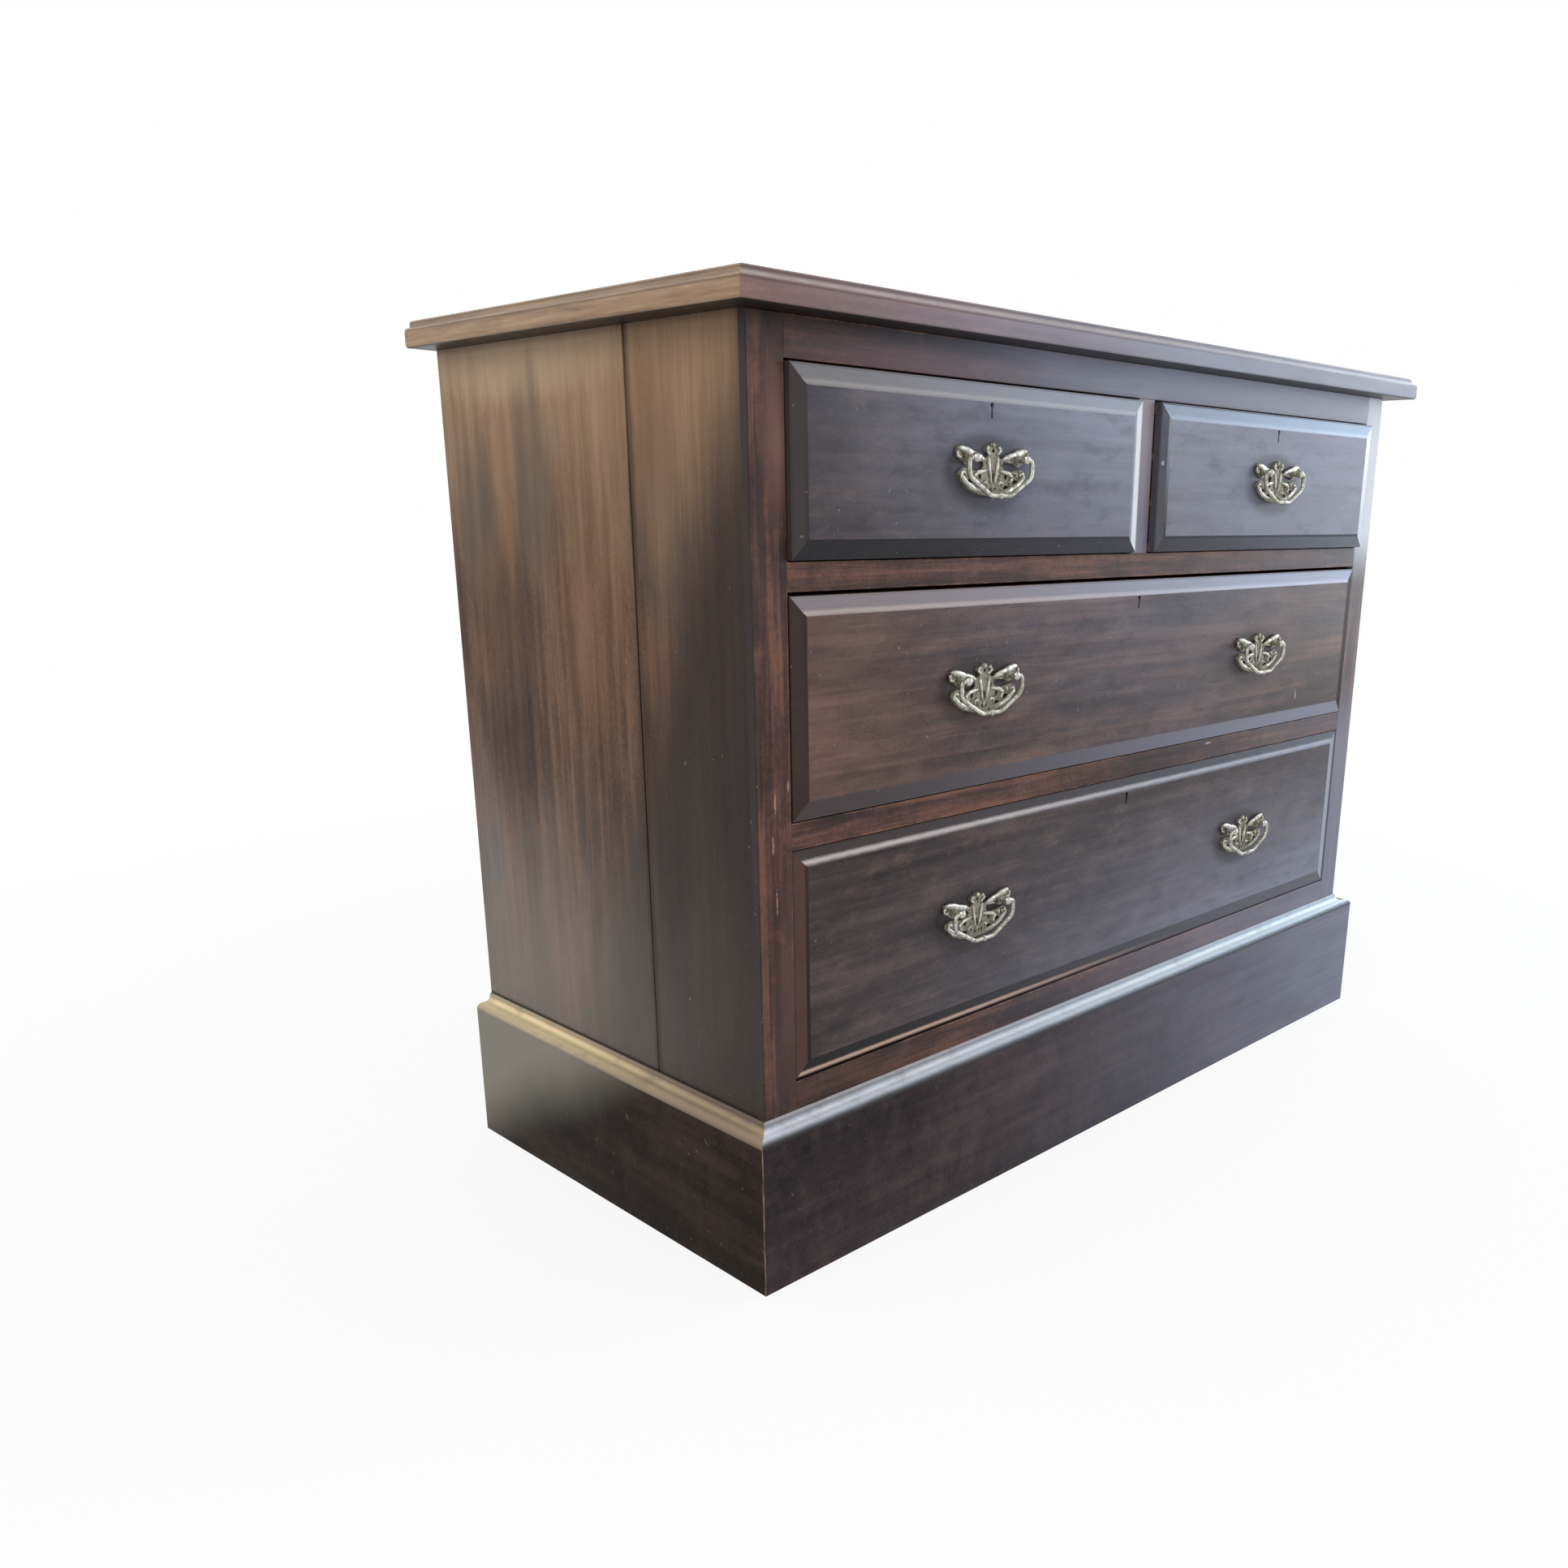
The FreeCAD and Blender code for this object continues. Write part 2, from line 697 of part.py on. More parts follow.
def post(x, y, z, drawer_face):
    """Eyed post: collar, neck and ball in front of the plate, stud through the wood."""
    out = Vector(0, -1, 0)
    plate_y = y - plate_thickness
    ball_y = y - post_stand
    collar = rod(x, plate_y, z, post_collar_radius, post_collar_height, out)
    neck = rod(x, plate_y, z, post_neck_radius, plate_y - ball_y, out)
    ball = Part.makeSphere(post_ball_radius, Vector(x, ball_y, z))
    stud_back = drawer_face + front_thickness + stud_end
    stud = rod(x, stud_back, z, stud_radius, stud_back - plate_y, out)
    eye = rod(x - post_ball_radius, ball_y, z, bail_radius + bail_play,
              2 * post_ball_radius, Vector(1, 0, 0))
    return joined(collar, neck, ball, stud).cut(eye)


def stud_hole(x, y, z, drawer_face):
    length = drawer_face + front_thickness - y
    return rod(x, y, z, stud_radius + stud_play, length, Vector(0, 1, 0))


def nut(x, z, drawer_face):
    y = drawer_face + front_thickness
    half = nut_width / 2
    block = box(x - half, x + half, y, y + nut_height, z - half, z + half)
    return block.cut(rod(x, y, z, stud_radius, nut_height, Vector(0, 1, 0)))


def round_bar(points, bends, radius):
    """Bar along straight runs, with a tangent bend of its own radius at each corner."""
    pieces, start = [], points[0]
    for before, corner, after, bend in zip(points, points[1:], points[2:], bends):
        inward = (before - corner).normalize()
        onward = (after - corner).normalize()
        half_angle = math.acos(inward.dot(onward)) / 2
        reach = bend / math.tan(half_angle)
        first = corner + inward * reach
        centre = corner + (inward + onward).normalize() * (bend / math.sin(half_angle))
        pieces.append(rod(start.x, start.y, start.z, radius, start.distanceToPoint(first),
                          first - start))
        ring = Part.Wire([Part.Circle(first, corner - before, radius).toShape()])
        turn = math.degrees(math.pi - 2 * half_angle)
        pieces.append(Part.Face(ring).revolve(centre, onward.cross(inward), turn))
        start = corner + onward * reach
    end = points[-1]
    pieces.append(rod(start.x, start.y, start.z, radius, start.distanceToPoint(end),
                      end - start))
    return joined(*pieces)


def bail(x, y, z):
    """Round bar: its ends turn inwards through the posts, with a bead in the middle."""
    outside = post_half + bail_reach
    half = [(post_half - bail_stub, 0.0), (outside, 0.0), (outside, -bail_side_drop),
            (bail_flat, -bail_drop)]
    bends = [bail_top_bend, bail_side_bend, bail_low_bend]
    points = [Vector(x - px, y, z + pz) for px, pz in half]
    points += [Vector(x + px, y, z + pz) for px, pz in reversed(half)]
    bar = round_bar(points, bends + bends[::-1], bail_radius)
    middle = Vector(x, y, z - bail_drop)
    return joined(bar, Part.makeSphere(bead_radius, middle, Vector(1, 0, 0)))


# ---- one drawer with all that is fixed to it ----------------------------------------
def handle_places(d):
    middle_z = (d["bottom"] + d["top"]) / 2
    return [(x, d["face"] - field_rise, middle_z + post_rise) for x in d["handles"]]


def build_drawer(d):
    front = softened(raised_front(d), lambda x, y, z: near(y, d["face"]))
    left = drawer_side(d, d["left"])
    right = drawer_side(d, d["right"] - drawer_side_thickness)
    end_y = d["face"] + drawer_length
    _, _, back_bottom, back_top = drawer_heights(d)
    rear = box(d["left"], d["right"], end_y - drawer_back_thickness, end_y,
               back_bottom, back_top).cut(left).cut(right)
    bottom = drawer_bottom(d)
    lock, bolt = lock_and_bolt(d)
    front = front.cut(left).cut(right).cut(lock_case(d)).cut(keyhole(d))
    for board in bottom:
        front, left, right = front.cut(board), left.cut(board), right.cut(board)
    fittings = []
    for x, y, z in handle_places(d):
        casting = plate(x, y, z)
        for px in (x - post_half, x + post_half):
            front = front.cut(stud_hole(px, y, z, d["face"]))
            one_post = post(px, y, z, d["face"])
            casting = casting.cut(one_post)
            fittings += [one_post, nut(px, z, d["face"])]
        fittings.append(casting)
    name = d["name"]
    save(name + "_drawer_front", front)
    save(name + "_drawer_sides", left, right)
    save(name + "_drawer_back", rear)
    save(name + "_drawer_bottom", *bottom)
    save(name + "_lock", lock)
    save(name + "_lock_bolt", bolt)
    save(name + "_handle_fittings", *fittings)


def build_bails(d, names):
    for name, (x, y, z) in zip(names, handle_places(d)):
        save(name, bail(x, y - post_stand, z))


# ---- the four drawers ---------------------------------------------------------------
divider_half = divider_width / 2
short_middle = (opening_half + divider_half) / 2
upper_left = drawer_plan("upper_left", -opening_half, -divider_half, upper_rail_top,
                         top_rail_bottom, upper_top_gap, upper_left_stand,
                         [-short_middle])
upper_right = drawer_plan("upper_right", divider_half, opening_half, upper_rail_top,
                          top_rail_bottom, upper_top_gap, upper_right_stand,
                          [short_middle])
middle = drawer_plan("middle", -opening_half, opening_half, lower_rail_top,
                     upper_rail_bottom, middle_top_gap, middle_stand,
                     [-short_middle, short_middle])
lower = drawer_plan("lower", -opening_half, opening_half, bottom_rail_top,
                    lower_rail_bottom, lower_top_gap, lower_stand,
                    [-short_middle, short_middle])
drawers = [upper_left, upper_right, middle, lower]
bail_names = {"upper_left": ["upper_left_bail"], "upper_right": ["upper_right_bail"],
              "middle": ["middle_left_bail", "middle_right_bail"],
              "lower": ["lower_left_bail", "lower_right_bail"]}


# ---- the carcass, put together ------------------------------------------------------
def build_carcass():
    top_rail = front_rail(top_rail_bottom, carcass_top)
    upper_rail = front_rail(upper_rail_bottom, upper_rail_top)
    lower_rail = front_rail(lower_rail_bottom, lower_rail_top)
    bottom_rail = front_rail(bottom_rail_top - bottom_rail_height, bottom_rail_top)
    top_back = back_rail(carcass_top - rail_height, carcass_top, top_back_rail_depth)
    middle_back = back_rail(upper_rail_top - back_rail_height, upper_rail_top,
                            back_rail_depth)
    bottom_back = back_rail(bottom_rail_top - back_rail_height, bottom_rail_top,
                            back_rail_depth)
    cross_pieces = [top_rail, upper_rail, lower_rail, bottom_rail, top_back,
                    middle_back, bottom_back]

    left_boards = side_boards(split_top, split_bottom)
    right_boards = [mirrored(board) for board in side_boards(0.0, 0.0)]
    for piece in cross_pieces:
        left_boards = [board.cut(piece) for board in left_boards]
        right_boards = [board.cut(piece) for board in right_boards]

    upright = divider()
    upper_rail, top_rail = upper_rail.cut(upright), top_rail.cut(upright)
    top_rail = top_rail.cut(bolt_mortise(upper_left)).cut(bolt_mortise(upper_right))
    upper_rail = upper_rail.cut(bolt_mortise(middle))
    lower_rail = lower_rail.cut(bolt_mortise(lower))

    board = top_board()
    screws = []
    for x, y in screw_places():
        underside = top_rail_bottom if y < 0 else carcass_top - rail_height
        screws.append(screw(x, y, underside, 0.0))
        hole = screw(x, y, underside, screw_play)
        board = board.cut(hole)
        top_rail, top_back = top_rail.cut(hole), top_back.cut(hole)

    plinth_front, plinth_left, plinth_right = plinth_boards()
    save("top_board", board)
    save("left_side_front_board", left_boards[0])
    save("left_side_rear_boards", *left_boards[1:])
    save("right_side_front_board", right_boards[0])
    save("right_side_rear_boards", *right_boards[1:])
    save("left_stile", stile())
    save("right_stile", mirrored(stile()))
    save("top_rail", top_rail)
    save("upper_rail", upper_rail)
    save("lower_rail", lower_rail)
    save("bottom_rail", bottom_rail)
    save("drawer_divider", upright)
    save("back_rails", top_back, middle_back, bottom_back)
    save("back_boards", *back_boards())
    save("drawer_runners", *runners())
    save("drawer_guides", *guides())
    save("drawer_kickers", *kickers())
    save("drawer_stops", *[block for d in drawers for block in stops(d)])
    save("plinth_front", plinth_front)
    save("plinth_left", plinth_left)
    save("plinth_right", plinth_right)
    save("plinth_mouldings", *plinth_mouldings())
    save("glue_blocks", *glue_blocks())
    save("top_screws", *screws)


os.makedirs("parts", exist_ok=True)
build_carcass()
for plan in drawers:
    build_drawer(plan)
    build_bails(plan, bail_names[plan["name"]])
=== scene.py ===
import bmesh
import bpy
from mathutils import Matrix, Vector


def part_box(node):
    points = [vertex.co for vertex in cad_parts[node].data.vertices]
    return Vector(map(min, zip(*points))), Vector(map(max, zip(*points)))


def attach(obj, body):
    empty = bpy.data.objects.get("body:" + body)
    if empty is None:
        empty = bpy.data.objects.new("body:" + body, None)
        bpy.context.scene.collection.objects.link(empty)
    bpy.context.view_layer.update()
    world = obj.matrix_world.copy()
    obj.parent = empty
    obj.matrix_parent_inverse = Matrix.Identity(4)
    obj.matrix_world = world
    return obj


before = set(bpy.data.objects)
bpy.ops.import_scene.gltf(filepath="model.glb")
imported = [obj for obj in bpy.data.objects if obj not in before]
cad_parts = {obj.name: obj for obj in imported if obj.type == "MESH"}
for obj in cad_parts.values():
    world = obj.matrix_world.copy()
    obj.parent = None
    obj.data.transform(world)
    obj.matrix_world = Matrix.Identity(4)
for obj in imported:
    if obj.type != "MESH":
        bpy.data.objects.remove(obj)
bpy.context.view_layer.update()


# ---- sides --------------------------------------------------------------------------
# Three mahogany boards to a side, glued edge to edge, stained brown and French polished.
# Sun has faded the left side from the top down, and its first joint has opened.
class Number:
    """A number that changes over a surface. Arithmetic on it adds Math nodes."""

    def __init__(self, tree, socket):
        self.tree = tree
        self.socket = socket

    def maths(self, operation, *values):
        node = self.tree.node("ShaderNodeMath", {"operation": operation},
                              dict(enumerate(values)))
        return Number(self.tree, node.outputs[0])

    def __add__(self, other):
        return self.maths("ADD", self, other)

    def __sub__(self, other):
        return self.maths("SUBTRACT", self, other)

    def __rsub__(self, other):
        return self.maths("SUBTRACT", other, self)

    def __mul__(self, other):
        return self.maths("MULTIPLY", self, other)

    def __truediv__(self, other):
        return self.maths("DIVIDE", self, other)

    def __rtruediv__(self, other):
        return self.maths("DIVIDE", other, self)

    __radd__ = __add__
    __rmul__ = __mul__

    def least(self, other):
        return self.maths("MINIMUM", self, other)

    def most(self, other):
        return self.maths("MAXIMUM", self, other)

    def size(self):
        return self.maths("ABSOLUTE", self)

    def whole(self):
        return self.maths("FLOOR", self)

    def rise(self, start, end):
        """0 before start, 1 past end and smooth between them, in either direction."""
        node = self.tree.node("ShaderNodeMapRange", {"interpolation_type": "SMOOTHSTEP"},
                              {"Value": self, "From Min": start, "From Max": end})
        return Number(self.tree, node.outputs["Result"])

    def near(self, centre, reach):
        """1 at centre, 0 from reach away."""
        return (self - centre).size().rise(reach, 0.0)


class Shading:
    """The nodes of a finish or of the surround. Every node comes from node()."""

    def __init__(self, tree):
        self.nodes = tree.nodes
        self.links = tree.links

    def node(self, kind, settings=None, sockets=None):
        """A new node: its settings come first, then its sockets' values or links."""
        node = self.nodes.new(kind)
        for setting, value in (settings or {}).items():
            if setting == "stops":
                self.set_stops(node.color_ramp.elements, value)
            else:
                setattr(node, setting, value)
        self.plug(node, sockets or {})
        return node

    def set_stops(self, ramp, stops):
        ramp.remove(ramp[1])
        ramp[0].position, ramp[0].color = stops[0][0], (*stops[0][1], 1)
        for position, colour in stops[1:]:
            ramp.new(position).color = (*colour, 1)

    def plug(self, node, sockets):
        for name, value in sockets.items():
            value = getattr(value, "socket", value)
            if isinstance(value, bpy.types.NodeSocket):
                self.links.new(value, node.inputs[name])
            elif node.inputs[name].type == "RGBA":
                node.inputs[name].default_value = (*value, 1)
            else:
                node.inputs[name].default_value = value


class Finish(Shading):
    """One material, with what all the finishes of the chest are mixed from."""

    def __init__(self, name):
        self.material = bpy.data.materials.new(name)
        self.material.use_nodes = True
        super().__init__(self.material.node_tree)
        self.shader = self.nodes["Principled BSDF"]
        self.place = self.node("ShaderNodeTexCoord").outputs["Object"]
        axes = self.node("ShaderNodeSeparateXYZ", {}, {"Vector": self.place}).outputs
        self.x, self.y, self.z = [Number(self, axis) for axis in axes]

    def noise(self, scale, where, detail=2.0, roughness=0.5, bend=0.0):
        """Cloudy pattern. scale is per metre, one number or one for each of X, Y and Z;
        where picks another patch of it."""
        if isinstance(scale, float):
            scale = (scale, scale, scale)
        moved = self.node("ShaderNodeMapping", {}, {
            "Vector": self.place, "Scale": scale,
            "Location": (where, where * 0.7, where * 1.3)})
        cloud = self.node("ShaderNodeTexNoise", {}, {
            "Vector": moved.outputs[0], "Scale": 1.0, "Detail": detail,
            "Roughness": roughness, "Distortion": bend})
        return Number(self, cloud.outputs["Fac"])

    def tone(self, number, stops):
        """Colour for each value of a number, from a list of (value, colour)."""
        return self.node("ShaderNodeValToRGB", {"stops": stops}, {0: number}).outputs[0]

    def over(self, under, colour, mask):
        """Lay a colour over another where mask is 1."""
        return self.node("ShaderNodeMix", {"data_type": "RGBA"},
                         {0: mask, 6: under, 7: colour}).outputs[2]

    def raised(self, height, deep):
        """Bump: height 1 stands deep metres above height 0."""
        bump = self.node("ShaderNodeBump", {}, {
            "Strength": 1.0, "Distance": deep, "Height": height})
        self.plug(self.shader, {"Normal": bump.outputs[0]})


pore_dirt = (0.012, 0.007, 0.006)
polish_relief = 0.0001
streak_scale = (75.0, 3.5)      # across the grain and along it


def stretched(along, across_scale, along_scale):
    """Pattern scale for wood whose grain runs along that axis."""
    return [along_scale if axis == along else across_scale for axis in "XYZ"]


def wood(finish, along, stops, where, streak):
    """Grain, streaks and open pores along an axis. Returns the colour, the grain and the
    pores; streak above 1 makes the streaks stronger."""
    blotches = finish.noise(stretched(along, 15.0, 4.5), where, 4.0, 0.6, 0.3)
    streaks = finish.noise(stretched(along, *streak_scale), where + 3, 5.0, 0.58, 0.25)
    grain = finish.noise(stretched(along, 420.0, 16.0), where + 5, 3.0, 0.65)
    mottle = finish.noise(260.0, where + 8, 3.0, 0.7)
    pores = finish.noise(stretched(along, 1500.0, 170.0), where + 7, 1.0).rise(0.58, 0.74)
    mixture = (0.5 + (blotches - 0.5) * 0.85 + (streaks - 0.5) * (1.05 * streak)
               + (grain - 0.5) * (0.24 * streak) + (mottle - 0.5) * 0.32)
    colour = finish.over(finish.tone(mixture, stops), pore_dirt, pores * 0.14)
    return colour, grain, pores


def polish(finish, colour, grain, pores, dullness, shine, worn_off=0.0):
    """Old shellac: a worn gloss that sinks a little into the grain. worn_off is where
    there is hardly any left."""
    finish.plug(finish.shader, {
        "Base Color": colour, "Specular IOR Level": shine,
        "Roughness": (grain - 0.5) * 0.25 + pores * 0.2 + worn_off * 0.5 + dullness})
    finish.raised(grain * 0.5 - pores * 0.8, polish_relief)


def dress(node, finish):
    """Give a CAD node its finish."""
    for material_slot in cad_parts[node].material_slots:
        material_slot.material = finish.material


side_brown = [(0.28, (0.026, 0.012, 0.008)), (0.50, (0.085, 0.044, 0.026)),
              (0.74, (0.180, 0.100, 0.060))]
side_faded = (0.352, 0.222, 0.132)
painted_side_light = (0.475, 0.340, 0.220)
side_warm = (0.250, 0.130, 0.062)
side_dull = (0.250, 0.225, 0.200)
side_grey = (0.100, 0.076, 0.056)
side_dark = (0.020, 0.014, 0.013)
joint_dirt = (0.024, 0.011, 0.006)
painted_corner_shade = (0.008, 0.007, 0.006)
side_nick = (0.42, 0.35, 0.27)
under_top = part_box("top_board")[0].z
over_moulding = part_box("plinth_mouldings")[1].z
faded_heights = (0.55, 0.78)    # where fading begins, and where it is full
dusty_heights = (0.46, 0.20)    # the same for the dull film of dust, downwards
dark_strip = (-0.200, 0.765)    # Y and height of the top of the strip that hands darkened
open_joint = -0.0640
open_joint_width = 0.0078


def stain(finish, centre, reach):
    """A soft patch, ragged with the grain: its centre and reach along Y and Z."""
    ragged = finish.noise((20.0, 60.0, 6.0), centre[0] * 100, 4.0, 0.65) - 0.5
    across = (finish.y - centre[0]) / reach[0]
    upward = (finish.z - centre[1]) / reach[1]
    return (across * across + upward * upward + ragged * 2.4).rise(1.7, -0.2)


def side_finish(name, where, faded, patches):
    """faded is how far sun has bleached the top. patches are stains, and one band of
    painted
    light: the colour laid on, its strength, and the centre and reach of each."""
    finish = Finish(name)
    colour, grain, pores = wood(finish, "Z", side_brown, where, streak=0.80)
    drift = finish.noise((4.0, 12.0, 3.2), where + 11, 4.0, 0.6) - 0.5
    bleach = (finish.z + drift * 0.30).rise(*faded_heights)
    streaks = finish.noise(stretched("Z", *streak_scale), where + 3, 5.0, 0.66, 0.25)
    streaked = (0.80 + (grain - 0.5) * 0.5 + (streaks - 0.5) * 0.8).least(1.0).most(0.25)
    colour = finish.over(colour, side_faded, bleach * faded * streaked)
    for patch_colour, strength, centre, reach in patches:
        colour = finish.over(colour, patch_colour, stain(finish, centre, reach) * strength)
    dark_front, dark_top = dark_strip
    dark_from = dark_front + (dark_top - finish.z) * 0.42 + drift * 0.06
    handled = (dark_from - finish.y).rise(-0.040, 0.050)
    colour = finish.over(colour, side_dark, handled * 0.82)
    dust = (finish.z - drift * 0.30).rise(*dusty_heights)
    toward_back = finish.y.rise(-0.26, 0.24) * 0.62 + 0.02
    colour = finish.over(colour, side_dull, dust * toward_back * faded)
    wander = finish.noise(8.0, where + 21, 3.0, 0.6) - 0.5
    joint = (finish.y + wander * 0.014).near(open_joint, open_joint_width)
    colour = finish.over(colour, joint_dirt, joint * (faded * 0.70))
    # painted shade under the overhang of the top, and in the line where the moulding meets
    # the side
    at_top = finish.z.rise(under_top - 0.008, under_top)
    at_foot = (finish.z - over_moulding).rise(0.005, 0.0005)
    colour = finish.over(colour, painted_corner_shade, at_foot.most(at_top * 0.4))
    nicks = finish.noise((300.0, 300.0, 180.0), where + 17, 1.0).rise(0.80, 0.83)
    colour = finish.over(colour, side_nick, nicks * 0.45)
    polish(finish, colour, grain, pores, dullness=0.45, shine=0.15)
    return finish


front_patches = [(side_warm, 0.40, (-0.095, 0.680), (0.030, 0.080)),
                 (side_grey, 0.35, (-0.100, 0.640), (0.035, 0.110)),
                 (side_dull, 0.14, (-0.085, 0.190), (0.050, 0.060)),
                 (side_warm, 0.25, (-0.085, 0.520), (0.030, 0.050)),
                 (side_dark, 0.40, (-0.125, 0.400), (0.070, 0.120)),
                 (side_dark, 0.60, (-0.190, 0.170), (0.055, 0.050))]
# the first rear patch is painted light: a pale band just under the top that lifts the
# shade cast by the overhang
rear_patches = [(painted_side_light, 0.75, (0.100, 0.774), (0.170, 0.034)),
                (side_dull, 0.15, (0.205, 0.290), (0.035, 0.090)),
                (side_grey, 0.70, (0.088, 0.680), (0.034, 0.085)),
                (side_warm, 0.60, (0.132, 0.645), (0.011, 0.075)),
                (side_grey, 0.60, (0.190, 0.640), (0.035, 0.080)),
                (side_warm, 0.22, (0.170, 0.545), (0.055, 0.080)),
                (side_warm, 0.22, (0.010, 0.560), (0.045, 0.110)),
                (side_dark, 0.30, (0.150, 0.420), (0.060, 0.060))]
side_boards = {"left_side_front_board": ("left_front_board", 1.0, 0.90, front_patches),
               "left_side_rear_boards": ("left_rear_boards", 2.0, 1.0, rear_patches),
               "right_side_front_board": ("right_front_board", 3.0, 0.35, []),
               "right_side_rear_boards": ("right_rear_boards", 4.0, 0.40, [])}
for node, board in side_boards.items():
    dress(node, side_finish(*board))


# ---- stiles, rails and divider -------------------------------------------------------
# Solid mahogany strips on the front of the carcass, stained redder than the sides. Hands
# and drawers have rubbed their front arrises down to paler wood.
frame_red = [(0.28, (0.020, 0.009, 0.008)), (0.50, (0.064, 0.027, 0.022)),
             (0.72, (0.165, 0.072, 0.046))]
frame_dirt = (0.014, 0.007, 0.007)
frame_worn = (0.165, 0.078, 0.052)
frame_shadow = (0.007, 0.005, 0.005)
bare_red = (0.30, 0.155, 0.090)
bare_patch = (0.210, 0.105, 0.080)
corner_chip = (0.34, 0.29, 0.25)
painted_sheen = (0.250, 0.262, 0.342)
painted_glare = (0.720, 0.760, 0.820)
frame_polish = {"dullness": 0.36, "shine": 0.22}


def with_painted_sheen(finish, colour, along, where, left, right, strength, height=1.0):
    """A painted sheen: a blue-grey reflection painted into the colour, growing from left
    to right along the front. It sits in faint streaks, as the grain does."""
    clouds = finish.noise((6.0, 6.0, 14.0), where + 4, 4.0, 0.6)
    streaks = finish.noise(stretched(along, 85.0, 4.0), where + 2, 4.0, 0.66, 0.2)
    broken = 1.0 + (clouds - 0.5) * 0.7 + (streaks - 0.5) * 0.9
    amount = finish.x.rise(left, right) * broken.most(0.1) * strength
    return finish.over(colour, painted_sheen, amount * height)


def frame_finish(node, along, where, sheen=None):
    """sheen is the left end, the right end and the strength of its painted sheen."""
    low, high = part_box(node)
    finish = Finish(node)
    colour, grain, pores = wood(finish, along, frame_red, where, streak=1.35)
    broken = finish.noise(35.0, where + 9, 4.0, 0.7)
    if along == "Z":
        from_edge = (finish.x - low.x).least(high.x - finish.x)
    else:
        from_edge = (finish.z - low.z).least(high.z - finish.z)
    from_arris = from_edge + (finish.y - low.y) * 3.0
    rubbed = (from_arris - (broken - 0.55) * 0.006).rise(0.0016, 0.0)
    colour = finish.over(colour, frame_dirt, broken.rise(0.50, 0.30) * 0.45)
    colour = finish.over(colour, frame_worn, broken.rise(0.52, 0.74) * 0.45)
    if sheen:
        colour = with_painted_sheen(finish, colour, along, where, *sheen)
    under_left = finish.x.rise(-0.15, -0.45)
    shadow = finish.z.rise(under_top - 0.024, under_top + 0.001) * under_left
    colour = finish.over(colour, frame_shadow, shadow * 0.70)
    wear = 0.80 if node == "bottom_rail" else 0.55
    colour = finish.over(colour, bare_red, rubbed * wear)
    return finish, colour, grain, pores


def knocked(finish, colour, tone, knocks):
    """Small light knocks and scratches. Each gives its centre along X and Z, then its
    half width and half height."""
    broken = finish.noise((900.0, 900.0, 500.0), 5.0, 2.0) - 0.5
    for x, z, half_width, half_height in knocks:
        across = (finish.x - x) / half_width
        upward = (finish.z - z) / half_height
        away = across * across + upward * upward + broken * 3.0
        colour = finish.over(colour, tone, away.rise(1.0, 0.3) * 0.75)
    return colour


left_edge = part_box("left_stile")[0].x
stile_knock = (0.42, 0.24, 0.19)
stile_knocks = [(-0.472, 0.436, 0.0012, 0.006), (-0.486, 0.424, 0.0011, 0.010),
                (-0.489, 0.390, 0.0011, 0.009), (-0.486, 0.342, 0.0009, 0.013)]
left_stile, colour, grain, pores = frame_finish("left_stile", "Z", 10.0)
wander = left_stile.noise((30.0, 30.0, 9.0), 14.0, 4.0, 0.7) - 0.5
inner_edge = (left_stile.x + wander * 0.02).rise(left_edge + 0.008, left_edge + 0.029)
beside_drawers = left_stile.z.near(0.700, 0.085) + left_stile.z.near(0.26, 0.16) * 0.45
colour = left_stile.over(colour, bare_patch, inner_edge * beside_drawers * 0.75)
outer_face = left_stile.x.rise(left_edge + 0.0020, left_edge + 0.0005)
colour = left_stile.over(colour, side_dark, outer_face * 0.9)
chips = left_stile.noise((260.0, 260.0, 120.0), 15.0, 2.0, 0.6).rise(0.70, 0.75)
at_corner = left_stile.x.rise(left_edge + 0.0035, left_edge + 0.0005)
low_down = left_stile.z.rise(0.52, 0.42)
colour = left_stile.over(colour, corner_chip, chips * (at_corner * low_down) * 0.6)
colour = knocked(left_stile, colour, stile_knock, stile_knocks)
polish(left_stile, colour, grain, pores, **frame_polish)
dress("left_stile", left_stile)

right_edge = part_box("right_stile")[1].x
right_stile, colour, grain, pores = frame_finish("right_stile", "Z", 11.0,
                                                 sheen=(0.0, 0.1, 0.10))
front_face = right_stile.x.rise(right_edge - 0.0004, right_edge - 0.0014)
at_foot = right_stile.z.rise(0.46, 0.36)
at_top = right_stile.z.rise(0.56, 0.64)
# painted reflection of the right window on the stile's front face: blue-grey sheen at the
# foot, nearly white glare at the top
colour = right_stile.over(colour, painted_sheen, at_foot * front_face * 0.65)
colour = right_stile.over(colour, painted_glare, at_top * front_face * 0.80)
polish(right_stile, colour, grain, pores, **frame_polish)
dress("right_stile", right_stile)

divider_painted_highlight = (0.420, 0.350, 0.380)
divider, colour, grain, pores = frame_finish("drawer_divider", "Z", 12.0,
                                             sheen=(-0.1, -0.05, 0.70))
# painted highlight on the upper part of the divider
colour = divider.over(colour, divider_painted_highlight, divider.z.rise(0.62, 0.73) * 0.65)
polish(divider, colour, grain, pores, **frame_polish)
dress("drawer_divider", divider)

